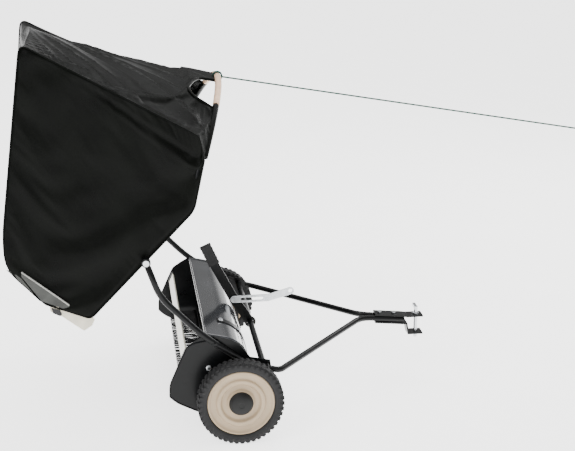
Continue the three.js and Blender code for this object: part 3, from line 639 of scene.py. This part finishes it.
def rear_strip():
    low, high = span("rear_strip")
    middle_point = at(-190, 150)
    build = Build()
    turn = Matrix.Rotation(STRIP_LEAN, 3, "Y")
    build.add(*block(middle_point, (0.003, high.y - low.y - 0.05, 0.038), turn, 0.001))
    for edge in (-0.017, 0.017):
        offset = turn @ Vector((0.0016, 0, edge))
        start = middle_point + offset + Vector((0, low.y + 0.026, 0))
        end = middle_point + offset + Vector((0, high.y - 0.026, 0))
        build.add(*sweep([start, end], 0.0026, 10))
    build.piece("rear_strip_rail", "cream_strip", "housing", ["rear_strip"], 40)
    ends = Build()
    for y in (low.y + 0.0125, high.y - 0.0125):
        ends.add(*block(middle_point + Vector((0, y, 0)), (0.007, 0.025, 0.044), turn, 0.002))
    ends.piece("rear_strip_ends", "core_plastic", "housing")


PANEL_BOLT = (-104, 104)
ARM_ROUTE = [(-311, 505), (-267, 378), (-133, 239), (15, 126)]


def hopper_arm(name, side):
    y = side * ARM_Y
    points = [at(x, z, y) for x, z in ARM_ROUTE]
    lead = (points[1] - points[0]).normalized()
    points[0] = points[0] + lead * 0.0172
    route = rounded_route(points, BEND_R)
    bar(f"{name}_arm_tube", route, TUBE_R, 24, "black_paint", "housing", [f"{name}_hopper_arm"])
    low, high = span(f"{name}_arm_eye")
    half = (high.y - low.y) / 2
    ring = [(0.0074, -half), (0.0161, -half), (0.0161, half), (0.0074, half)]
    eye = lathe(soften(ring, 0.002), at(*ARM_ROUTE[0], y), 40)
    single(eye, f"{name}_arm_ring", "black_paint", "housing", [f"{name}_arm_eye"], 45)
    bolts = Build()
    outside = side * (ARM_Y + TUBE_R)
    for share in (0.35, 0.9):
        point = Vector(ARM_ROUTE[2]).lerp(Vector(ARM_ROUTE[3]), share)
        bolt(bolts, at(point.x, point.y, outside - side * 0.0008), (0, side, 0), 0.006, 0.004, 0.008)
    bolts.piece(f"{name}_arm_bolts", "black_paint", "housing")
    panel_bolt = Build()
    bolt(panel_bolt, at(*PANEL_BOLT, side * PANEL_Y), (0, side, 0), 0.0075, 0.0045)
    panel_bolt.piece(f"{name}_panel_bolt", "zinc", "housing")


def panel_trim(name, side):
    """A rolled bead round the side panel's outer edge."""
    outline = [(-242, 2), (-241, 47), (-204, 132), (-178, 187), (-150, 200), (-109, 206)]
    foot = [(-242, 2), (-215, -23), (-138, -62), (70, -68)]
    build = Build()
    y = side * (PANEL_Y + 0.0002)
    for points in (outline, foot):
        route = rounded_route([at(x, z, y) for x, z in points], 0.018, 5)
        build.add(*sweep(route, 0.0028, 10))
    build.piece(f"{name}_panel_bead", "black_paint", "housing")


# ---- drawbar ---------------------------------------------------------------------------------------

DRAWBAR_PIVOT = (90, 100)
DRAWBAR_BEND = (145, 86)
DRAWBAR_JOIN = (520, 100)
DRAWBAR_END = (690, 84)
DRAWBAR_Y = 0.017


def drawbar():
    half = ARM_Y + TUBE_R
    route = [at(*DRAWBAR_PIVOT, -half), at(*DRAWBAR_PIVOT, half)]
    bar("drawbar_cross_tube", route, TUBE_R, 24, "black_paint", "drawbar", ["cross_tube"])
    for name, side in SIDES:
        start = at(*DRAWBAR_PIVOT, side * ARM_Y)
        bend = at(*DRAWBAR_BEND, side * ARM_Y)
        start = start + (bend - start).normalized() * (TUBE_R + 0.002)
        points = [start, bend, at(*DRAWBAR_JOIN, side * DRAWBAR_Y), at(*DRAWBAR_END, side * DRAWBAR_Y)]
        route = rounded_route(points, BEND_R)
        bar(f"{name}_drawbar_side", route, TUBE_R, 24, "black_paint", "drawbar", [f"{name}_drawbar_tube"])
        weld = Build()
        joint = at(*DRAWBAR_PIVOT, side * ARM_Y)
        crest = TUBE_R + 0.0025
        ring = [(TUBE_R * 0.9, -0.004), (crest, -0.0015), (crest, 0.0015), (TUBE_R * 0.9, 0.004)]
        weld.add(*lathe(ring, joint + Vector((TUBE_R + 0.0015, 0, 0)), 24, "X"))
        weld.piece(f"{name}_drawbar_weld", "black_paint", "drawbar")


GRIP_LENGTH = 84.0
GRIP_RIBS = 9
GRIP_RIB = 0.0094
LEVER_HALF = 0.0178


def lever_grip():
    """A ribbed slip-on grip on the lever's top."""
    top = Vector((-77, 411))
    knee = Vector((-37, 322))
    along = (top - knee).normalized()
    low, high = span("lever_grip")
    half_thick = (high.y - low.y) / 2
    build = Build()
    turn = Matrix.Rotation(math.atan2(along.x, along.y), 3, "Y")
    wall = half_thick - 0.0034
    for k in range(GRIP_RIBS):
        share = (k + 0.5) / GRIP_RIBS
        place = top + along * (3 - GRIP_LENGTH * share)
        centre = at(place.x, place.y)
        width = 0.043 if k % 2 == 0 else 0.0405
        cheek = (width, half_thick - wall, GRIP_RIB)
        edge = (width / 2 - LEVER_HALF, half_thick * 2 - 0.001, GRIP_RIB)
        for sign in (-1, 1):
            build.place(block((0, sign * (wall + half_thick) / 2, 0), cheek, None, 0.0015), turn, centre)
            build.place(block((sign * (LEVER_HALF + width / 2) / 2, 0, 0), edge, None, 0.001), turn, centre)
    build.piece("lever_grip_sleeve", "grip_rubber", "drawbar", ["lever_grip"], 40)


# ---- hopper frame ----------------------------------------------------------------------------------

BAG_PEAK = (-691, 1251)
BAG_CREASE = (-120, 930)
BOW_FOOT = (-105, 850)
BOW_TOP = (-22, 1054)
BAG_SHOULDER = (-143, 675)
MOUTH_UPPER = (-503, 305)
MOUTH_LOWER = (-654, 365)
APRON_END = (-778, 495)
FLOOR_BEND = (-781, 607)
FRAME_CORNERS = [(-117, 851), (-154.6, 680), (-499, 318), (-644, 376)]
TAN_SET_IN = 2400    # where the tan tube starts, in millimetres from the corner per metre of FRAME_R


def bow_at(y):
    rise = 1 - (y / FRAME_Y) ** 2
    point = Vector(BOW_FOOT).lerp(Vector(BOW_TOP), rise)
    return at(point.x, point.y, y)


def bow_piece(name, node, y0, y1, look, radius):
    steps = 24
    route = [bow_at(y0 + (y1 - y0) * i / steps) for i in range(steps + 1)]
    bar(name, route, radius, 20, look, "hopper", [node])


def hopper_frame():
    foot, shoulder, upper, lower = (Vector(p) for p in FRAME_CORNERS)
    heel = shoulder.lerp(foot, 0.82)
    start = upper + (lower - upper).normalized() * FRAME_R * TAN_SET_IN
    for name, side in SIDES:
        y = side * FRAME_Y
        route = rounded_route([at(*p, y) for p in (heel, shoulder, upper)], 0.03)
        bar(f"{name}_frame_bar", route, FRAME_R, 20, "black_paint", "hopper", [f"{name}_hopper_frame"])
        route = [at(*start, y), at(*lower, y)]
        bar(f"{name}_mouth_bar", route, FRAME_R, 20, "tan_tube", "hopper", [f"{name}_mouth_tube"])
    for node, look in (("hopper_top_bar", "black_paint"), ("hopper_front_bar", "black_paint"),
                       ("hopper_mouth_bar", "tan_tube")):
        low, high = span(node)
        centre = (low + high) / 2
        route = [Vector((centre.x, y, centre.z)) for y in (low.y, high.y)]
        bar(f"{node}_tube", route, FRAME_R, 20, look, "hopper", [node])


BARE_BOW = 0.229
SLEEVE_R = 0.0112
HANDLE_R = 0.012


def bow():
    foot = FRAME_Y - 0.004
    bow_piece("right_bow_sleeve", "right_bow_tube", -foot, -BARE_BOW - 0.002, "vinyl", SLEEVE_R)
    bow_piece("bow_hand_grip", "bow_handle", -BARE_BOW, BARE_BOW, "tan_tube", HANDLE_R)
    bow_piece("left_bow_sleeve", "left_bow_tube", BARE_BOW + 0.002, foot, "vinyl", SLEEVE_R)


# ---- bag -------------------------------------------------------------------------------------------

def chain_at(points, share):
    """A point and its distance along a chain of profile points, at a share of its length."""
    lengths = [(points[i + 1] - points[i]).length for i in range(len(points) - 1)]
    target = share * sum(lengths)
    for i, length in enumerate(lengths):
        if target <= length or i == len(lengths) - 1:
            return points[i].lerp(points[i + 1], min(target / length, 1.0))
        target -= length
    return points[-1]


def round_chain(points, radii, steps=6):
    out = [points[0]]
    for before, here, after, radius in zip(points, points[1:], points[2:], radii):
        out.extend(corner(before, here, after, radius, 2.1, steps))
    return out + [points[-1]]


def chain_length(points):
    return sum((b - a).length for a, b in zip(points, points[1:]))


WALL = BAG_Y - 0.0006
REAR_NORMAL = Vector((0.49, 0.87))
OUTER_CORNERS = [Vector(p) for p in (BOW_FOOT, BAG_CREASE, BAG_PEAK, FLOOR_BEND, APRON_END, MOUTH_LOWER)]
OPENING_CORNERS = [Vector(p) for p in (BOW_FOOT, BAG_SHOULDER, MOUTH_UPPER, MOUTH_LOWER)]
BAG_OUTER = round_chain(OUTER_CORNERS, [20, 34, 60, 60])
BAG_OPENING = round_chain(OPENING_CORNERS, [25, 18])
OUTER_LENGTH = chain_length(BAG_OUTER)
REAR_LENGTH = chain_length(OUTER_CORNERS[:3])
HAND_HOLE = [(1.03, 60), (0.90, 75), (0.868, 115), (0.840, 180), (0.840, 214), (0.875, 246), (0.93, 254),
             (1.03, 244)]
FAR_PEAK_SLIP = Vector((-0.045, 0, -0.034))


def smooth(value):
    value = min(max(value, 0.0), 1.0)
    return value * value * (3 - 2 * value)


def slipped(point):
    """The bag's far top corner hangs back and down from its near one, as loose fabric does."""
    reach = (point - at(*BAG_PEAK, point.y)).length
    share = smooth(point.y / BAG_Y) * math.exp(-(reach / 0.42) ** 2)
    return point + FAR_PEAK_SLIP * share


def ridge_line(value, place, width):
    return math.exp(-((value - place) / width) ** 2)


# Each long fold's angle from the peak and its width, in degrees, and its depth in metres.
SIDE_FOLDS = [(-35.0, 1.1, 0.007), (-37.5, 0.9, -0.004), (-46, 3.0, 0.004), (-60, 4.0, -0.003)]


def side_fold(x, z):
    """How far the side wall stands in (+) or out (-), in metres: long folds that fan from the peak."""
    ray = Vector((x, z)) - Vector(BAG_PEAK)
    angle = math.degrees(math.atan2(ray.y, ray.x))
    drift = 1.6 * noise.noise(Vector((ray.length * 0.004, 0.3, 3.0)))
    fold = 0.0
    for place, width, depth in SIDE_FOLDS:
        fold += depth * ridge_line(angle + drift, place, width) * min(ray.length / 350, 1.0)
    fold += 0.004 * noise.noise(Vector((x * 0.006, z * 0.006, 1.0)))
    fold += 0.002 * noise.noise(Vector((x * 0.018, z * 0.012, 5.0)))
    return fold


def rear_fold(u, y):
    """Folds of the rear panel, fanning from its far top corner to the bow, in metres along its normal."""
    fan = (y - BAG_Y) / (u + 0.22)
    wave = noise.noise(Vector((fan * 5.0, u * 0.9, 11.0)))
    crest = 1 - abs(noise.noise(Vector((fan * 3.1 + 2.0, u * 0.7, 4.0)))) * 2
    fine = 1 - abs(noise.noise(Vector((fan * 8.0 + 5.0, u * 1.5, 9.0)))) * 2
    return (0.008 * wave + 0.012 * max(crest, 0) ** 4 + 0.005 * max(fine, 0) ** 3 - 0.006) * min(u * 3, 1)


def back_point(share, y, hold=1.0):
    """A place on the bag's rear, floor or apron: share runs along the outer chain from the bow, y across."""
    back = chain_at(BAG_OUTER, share)
    u = 1 - share * OUTER_LENGTH / REAR_LENGTH
    across = min(abs(y) / WALL, 1.0) ** 2
    if u > 0:
        ridge = Vector(BAG_PEAK).lerp(Vector(BOW_TOP), u)
        flat = ridge.lerp(back, across)
        sag = -0.016 * math.sin(math.pi * u) * (1 - across)
        shifted = flat + REAR_NORMAL * ((rear_fold(u, y) * hold + sag) * 1000)
        return slipped(at(shifted.x, shifted.y, y))
    outward = Vector((-1, 0)) if share * OUTER_LENGTH < REAR_LENGTH + 700 else Vector((-0.7, -0.7))
    lift = 0.007 * noise.noise(Vector((y * 5, share * 9, 2.0))) - 0.012 * (1 - across)
    shifted = back + outward * (lift * hold * 1000)
    return slipped(at(shifted.x, shifted.y, y))


def side_point(share, t, side):
    """A place on a side wall: t runs from the open edge to the outer seam."""
    back = chain_at(BAG_OUTER, share)
    front = chain_at(BAG_OPENING, share)
    x, z = front.lerp(back, t)
    hold = smooth(min(t, 1 - t) * (back - front).length / 70)
    depth = 0.009 * math.sin(math.pi * t) * hold + side_fold(x, z) * hold
    return slipped(at(x, z, side * (WALL - max(depth, -0.004))))


def hole_offset(u, y):
    """Whether a place on the rear panel is inside a hand hole, and the nearest place on that hole's edge."""
    place = Vector((u * REAR_LENGTH, abs(y) * 1000))
    corners = [Vector((a * REAR_LENGTH, b)) for a, b in HAND_HOLE]
    inside = False
    nearest = None
    for i, a in enumerate(corners):
        b = corners[(i + 1) % len(corners)]
        if (a.y > place.y) != (b.y > place.y):
            if place.x < a.x + (place.y - a.y) * (b.x - a.x) / (b.y - a.y):
                inside = not inside
        share = max(0.0, min(1.0, (place - a).dot(b - a) / (b - a).length_squared))
        foot = a.lerp(b, share)
        if nearest is None or (foot - place).length < (nearest - place).length:
            nearest = foot
    return inside, min(nearest.x / REAR_LENGTH, 1.0), math.copysign(nearest.y / 1000, y)


def bag_mesh(side_columns=30, cross_columns=96):
    """The bag as one lofted shell: each row runs up one side wall, across the back and down the other."""
    shares = [i / 400 for i in range(48)] + [0.12 + 0.88 * i / 118 for i in range(119)]
    columns = 2 * side_columns + cross_columns + 1
    verts = []
    places = {}
    held = set()
    for row, share in enumerate(shares):
        for column in range(columns):
            number = row * columns + column
            if column <= side_columns:
                verts.append(side_point(share, column / side_columns, -1))
            elif column >= side_columns + cross_columns:
                verts.append(side_point(share, (columns - 1 - column) / side_columns, 1))
            else:
                k = (column - side_columns) / cross_columns
                y = WALL * (2 * k - 1)
                edge = min(k, 1 - k) * 2 * WALL
                hold = smooth(edge / 0.05) * smooth(share * OUTER_LENGTH / 50)
                hold *= smooth((1 - share) * OUTER_LENGTH / 60)
                verts.append(back_point(share, y, hold))
                places[number] = (1 - share * OUTER_LENGTH / REAR_LENGTH, y)
            seam = column in (0, columns - 1, side_columns, side_columns + cross_columns)
            tab = number in places and places[number][0] > 0.85 and abs(places[number][1]) < 0.07
            if row in (0, len(shares) - 1) or seam or tab:
                held.add(number)
    inside = {n for n, (u, y) in places.items() if u > 0.8 and hole_offset(u, y)[0]}
    faces = []
    rim = set()
    for row in range(len(shares) - 1):
        for column in range(columns - 1):
            a = row * columns + column
            corners = [a, a + 1, a + 1 + columns, a + columns]
            if all(c in inside for c in corners):
                continue
            rim.update(c for c in corners if c in inside)
            faces.append(corners)
    for number in rim:
        u, y = hole_offset(*places[number])[1:]
        verts[number] = back_point((1 - u) * REAR_LENGTH / OUTER_LENGTH, y)
    return verts, faces, held | rim


def weld_ends(verts, faces, held):
    """Merges vertices that lie on one another, and drops empty faces and unused vertices."""
    used = {i for face in faces for i in face}
    seen = {}
    remap = {}
    kept = []
    pinned = set()
    for i in sorted(used):
        v = verts[i]
        key = (round(v.x, 5), round(v.y, 5), round(v.z, 5))
        if key not in seen:
            seen[key] = len(kept)
            kept.append(v)
        remap[i] = seen[key]
        if i in held:
            pinned.add(remap[i])
    clean = []
    for face in faces:
        corners = list(dict.fromkeys(remap[i] for i in face))
        if len(corners) > 2:
            clean.append(corners)
    return kept, clean, sorted(pinned)


def settle(shell, held):
    """Lets the fabric sag between its held seams, and keeps each point near its place in the cut."""
    start = [v.co.copy() for v in shell.data.vertices]
    group = shell.vertex_groups.new(name="held")
    group.add(held, 1.0, "REPLACE")
    cloth = shell.modifiers.new("cloth", "CLOTH")
    cloth.settings.quality = 6
    cloth.settings.mass = 0.03
    cloth.settings.tension_stiffness = 30
    cloth.settings.compression_stiffness = 30
    cloth.settings.shear_stiffness = 12
    cloth.settings.bending_stiffness = 0.4
    cloth.settings.shrink_min = -0.012
    cloth.settings.vertex_group_mass = "held"
    cloth.collision_settings.use_collision = False
    scene = bpy.context.scene
    for step in range(1, CLOTH_FRAMES + 1):
        scene.frame_set(step)
    settled = shell.evaluated_get(bpy.context.evaluated_depsgraph_get())
    ends = [v.co.copy() for v in settled.data.vertices]
    shell.modifiers.remove(cloth)
    shell.vertex_groups.remove(group)
    scene.frame_set(1)
    for vertex, begin, end in zip(shell.data.vertices, start, ends):
        moved = end - begin
        reach = WALL_SLACK if abs(begin.y) > WALL - 0.03 else BACK_SLACK
        if moved.length > reach:
            moved = moved * (reach / moved.length)
        place = begin + moved
        limit = WALL + 0.004
        vertex.co = Vector((place.x, max(-limit, min(limit, place.y)), place.z))
    shell.data.update()


CLOTH_FRAMES = 24
WALL_SLACK = 0.009
BACK_SLACK = 0.014


def bag():
    verts, faces, held = weld_ends(*bag_mesh())
    shell = make("hopper_bag", verts, faces, "vinyl", None,
                 ["right_bag_side", "left_bag_side", "bag_rear", "bag_floor", "bag_apron"], 180)
    settle(shell, held)
    thick = shell.modifiers.new("thickness", "SOLIDIFY")
    thick.thickness = 0.0014
    thick.offset = -1
    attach(shell, "hopper")


def hem(name, points, y, look="vinyl", radius=0.0032):
    bar(name, [slipped(at(*p, y)) for p in points], radius, 10, look, "hopper")


def finely(points, step=30.0):
    """The same chain with no gap between its points longer than a step."""
    out = [points[0]]
    for a, b in zip(points, points[1:]):
        parts = max(1, math.ceil((b - a).length / step))
        out.extend(a.lerp(b, (i + 1) / parts) for i in range(parts))
    return out


def plate(build, outline, y0, y1):
    """A flat sheet cut to an outline of the side profile."""
    verts = [at(*p, y) for y in (y0, y1) for p in outline]
    faces = prism_faces(len(outline))
    if y1 < y0:
        faces = [face[::-1] for face in faces]
    build.add(verts, faces)


APRON_FOLD = [(-727, 484), (-650, 421), (-572, 358), (-580, 341), (-640, 366), (-666, 378), (-728, 468)]
APRON_EDGE = [(-727, 484), (-689, 453), (-650, 421), (-612, 390), (-574, 358)]
APRON_LIP = [(-776, 494), (-742, 482), (-674, 380), (-655, 368)]
MOUTH_LINING = [(-640, 356), (-572, 352), (-502, 314), (-490, 302), (-500, 280), (-528, 262), (-556, 283),
                (-600, 318), (-638, 338)]
MOUTH_PLUG = [(-634, 350), (-606, 342), (-600, 326), (-606, 320), (-630, 332)]
# Each piece by the mouth: its name, its look, and its plates with their two faces' places from BAG_Y.
# The apron folds' grey vinyl is a painted sheen and the apron edge's pale piping a painted highlight, both of
# light on the folded fabric.
MOUTH_PLATES = [
    ("apron_folds", "vinyl_painted_sheen", [(APRON_FOLD, -0.001, 0.0012), (APRON_LIP, -0.001, 0.0006)]),
    ("mouth_lining", "canvas", [(MOUTH_LINING, -0.0035, -0.002)]),
    ("mouth_plug", "core_plastic", [(MOUTH_PLUG, -0.003, 0.0016)]),
]


def hole_hem(name, side):
    """The turned edge of a hand hole."""
    corners = [(min(u, 1.0), side * y / 1000) for u, y in HAND_HOLE]
    route = []
    for (u0, y0), (u1, y1) in zip(corners, corners[1:]):
        for i in range(8):
            t = i / 8
            u, y = u0 + (u1 - u0) * t, y0 + (y1 - y0) * t
            route.append(back_point((1 - u) * REAR_LENGTH / OUTER_LENGTH, y))
    u, y = corners[-1]
    route.append(back_point((1 - u) * REAR_LENGTH / OUTER_LENGTH, y))
    for _ in range(6):
        inner = [(a + b * 2 + c) / 4 for a, b, c in zip(route, route[1:], route[2:])]
        route = [route[0]] + inner + [route[-1]]
    bar(f"{name}_hand_hole_hem", route, 0.0055, 12, "vinyl", "hopper", [], 60)


def bag_trim():
    for name, side in SIDES:
        hem(f"{name}_opening_hem", finely(BAG_OPENING), side * (BAG_Y - 0.002))
        hem(f"{name}_seam_piping", finely(BAG_OUTER), side * (BAG_Y - 0.002), radius=0.0026)
        # The apron edge's pale piping is a painted highlight.
        hem(f"{name}_apron_edge", APRON_EDGE, side * (BAG_Y + 0.0008), "pale_edge", 0.0028)
        for part, look, plates in MOUTH_PLATES:
            build = Build()
            for outline, inner, outer in plates:
                plate(build, outline, side * (BAG_Y + inner), side * (BAG_Y + outer))
            build.piece(f"{name}_{part}", look, "hopper")
        hole_hem(name, side)


# ---- dump rope -------------------------------------------------------------------------------------

ROPE_END = (1385, 812)
ROPE_R = 0.003


def dump_rope():
    low, high = span("rope_knot")
    knot_radius = (high.x - low.x) / 2
    top = at(*BOW_TOP)
    end = at(*ROPE_END)
    lead = (end - top).normalized()
    across = Vector((0, 1, 0))
    knot = Build()
    for offset in (-0.0032, 0.0032):
        steps = 40
        sides = 10
        centre = top + across * offset
        verts = []
        for point in circle(centre, Vector((1, 0, 0)), Vector((0, 0, 1)), HANDLE_R + 0.0042, steps):
            verts.extend(circle(point, (point - centre).normalized(), across, ROPE_R, sides))
        faces = []
        for i in range(steps):
            for k in range(sides):
                j = (k + 1) % sides
                n = (i + 1) % steps
                faces.append([i * sides + k, n * sides + k, n * sides + j, i * sides + j])
        knot.add(verts, faces)
    lump = top + lead * (knot_radius - 0.004)
    knot.add(*sweep([lump - Vector((0, 0, 0.006)), lump, lump + Vector((0, 0, 0.006))], 0.0045, 14, 0.003))
    tie = knot.piece("rope_hitch", "rope_fibre", "hopper", ["rope_knot"], 60)
    start = top + lead * (knot_radius + 0.0003)
    tail = end - lead * 0.0133
    steps = 240
    path = [start.lerp(tail, i / steps) for i in range(steps + 1)]
    sides = 12
    verts = []
    up = lead.cross(across).normalized()
    for i, point in enumerate(path):
        for k in range(sides):
            angle = 2 * math.pi * k / sides
            radius = 0.0029 + 0.00012 * math.cos(3 * (angle + i * 0.45))
            verts.append(point + across * (radius * math.cos(angle)) + up * (radius * math.sin(angle)))
    faces = [list(range(sides))[::-1], [steps * sides + k for k in range(sides)]]
    faces += tube_faces(steps + 1, sides)
    rope = make("dump_rope_line", verts, faces, "rope_fibre", None, ["dump_rope"], 60)
    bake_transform(rope)
    low, high = span("rope_toggle")
    half = (high.y - low.y) / 2
    radius = (high.x - low.x) / 2
    profile = [(0, -half), (radius * 0.7, -half), (radius, -half * 0.82), (radius * 0.82, -half * 0.3),
               (radius * 0.8, half * 0.3), (radius, half * 0.82), (radius * 0.7, half), (0, half)]
    handle = lathe(soften(profile, 0.004), end, 40)
    grip = single(handle, "rope_toggle_grip", "grip_rubber", "housing", ["rope_toggle"], 50)


# ---- everything ------------------------------------------------------------------------------------

dump_rope()
for label, sign in SIDES:
    tyre(label, sign)
    rim(label, sign)
    hub_cap(label, sign)
    hopper_arm(label, sign)
    panel_trim(label, sign)
brush_rows()
hood()
hood_band()
rear_strip()
drawbar()
lever_grip()
hopper_frame()
bow()
bag()
bag_trim()


# ---- stage and light -------------------------------------------------------------------------------

FLOOR_HALF = 30
FLOOR_GLOW = 2.4
SKY_STRENGTH = 1.1
# Height on the sky and its brightness: pale behind the object, dim above that, bright overhead.
SKY = [(0.0, 1.0), (0.12, 0.85), (0.22, 0.12), (0.6, 1.0)]

# Each lamp's name, place, target, size and power.
LAMPS = [
    ("key", (-2.6, -3.2, 4.2), (0, 0, 0.6), 2.5, 120),
    ("top", (0.5, 1.0, 5.0), (-0.3, 0, 0.8), 3.5, 120),
    ("rim", (3.2, 2.6, 2.6), (0, 0, 0.5), 1.8, 60),
]


def stage():
    floor_mesh = bpy.data.meshes.new("floor")
    corners = [(x * FLOOR_HALF, y * FLOOR_HALF, 0) for x, y in ((-1, -1), (1, -1), (1, 1), (-1, 1))]
    floor_mesh.from_pydata(corners, [], [[0, 1, 2, 3]])
    floor = bpy.data.objects.new("floor", floor_mesh)
    floor.location.z = FLOOR_Z - 0.0005
    bpy.context.scene.collection.objects.link(floor)
    white = shader("floor", (0.92, 0.92, 0.91), 0.6, grain=3, spread=0.02, bump=0.02)
    glow = next(n for n in white.node_tree.nodes if n.type == "BSDF_PRINCIPLED")
    glow.inputs["Emission Color"].default_value = (1, 1, 1, 1)
    glow.inputs["Emission Strength"].default_value = FLOOR_GLOW
    floor_mesh.materials.append(white)
    world = bpy.data.worlds.new("world")
    world.use_nodes = True
    sky = world.node_tree
    coords = sky.nodes.new("ShaderNodeTexCoord")
    split = sky.nodes.new("ShaderNodeSeparateXYZ")
    ramp = sky.nodes.new("ShaderNodeValToRGB")
    ramp.color_ramp.elements[0].position = SKY[0][0]
    ramp.color_ramp.elements[1].position = SKY[-1][0]
    for height, _ in SKY[1:-1]:
        ramp.color_ramp.elements.new(height)
    for element, (_, level) in zip(ramp.color_ramp.elements, SKY):
        element.color = (level, level, level, 1)
    sky.links.new(coords.outputs["Generated"], split.inputs[0])
    sky.links.new(split.outputs["Z"], ramp.inputs["Fac"])
    sky.links.new(ramp.outputs["Color"], sky.nodes["Background"].inputs["Color"])
    sky.nodes["Background"].inputs["Strength"].default_value = SKY_STRENGTH
    bpy.context.scene.world = world
    for name, place, target, size, power in LAMPS:
        data = bpy.data.lights.new(name, "AREA")
        data.size = size
        data.energy = power
        lamp = bpy.data.objects.new(name, data)
        lamp.location = place
        lamp.rotation_euler = (Vector(target) - Vector(place)).to_track_quat("-Z", "Y").to_euler()
        bpy.context.scene.collection.objects.link(lamp)


stage()
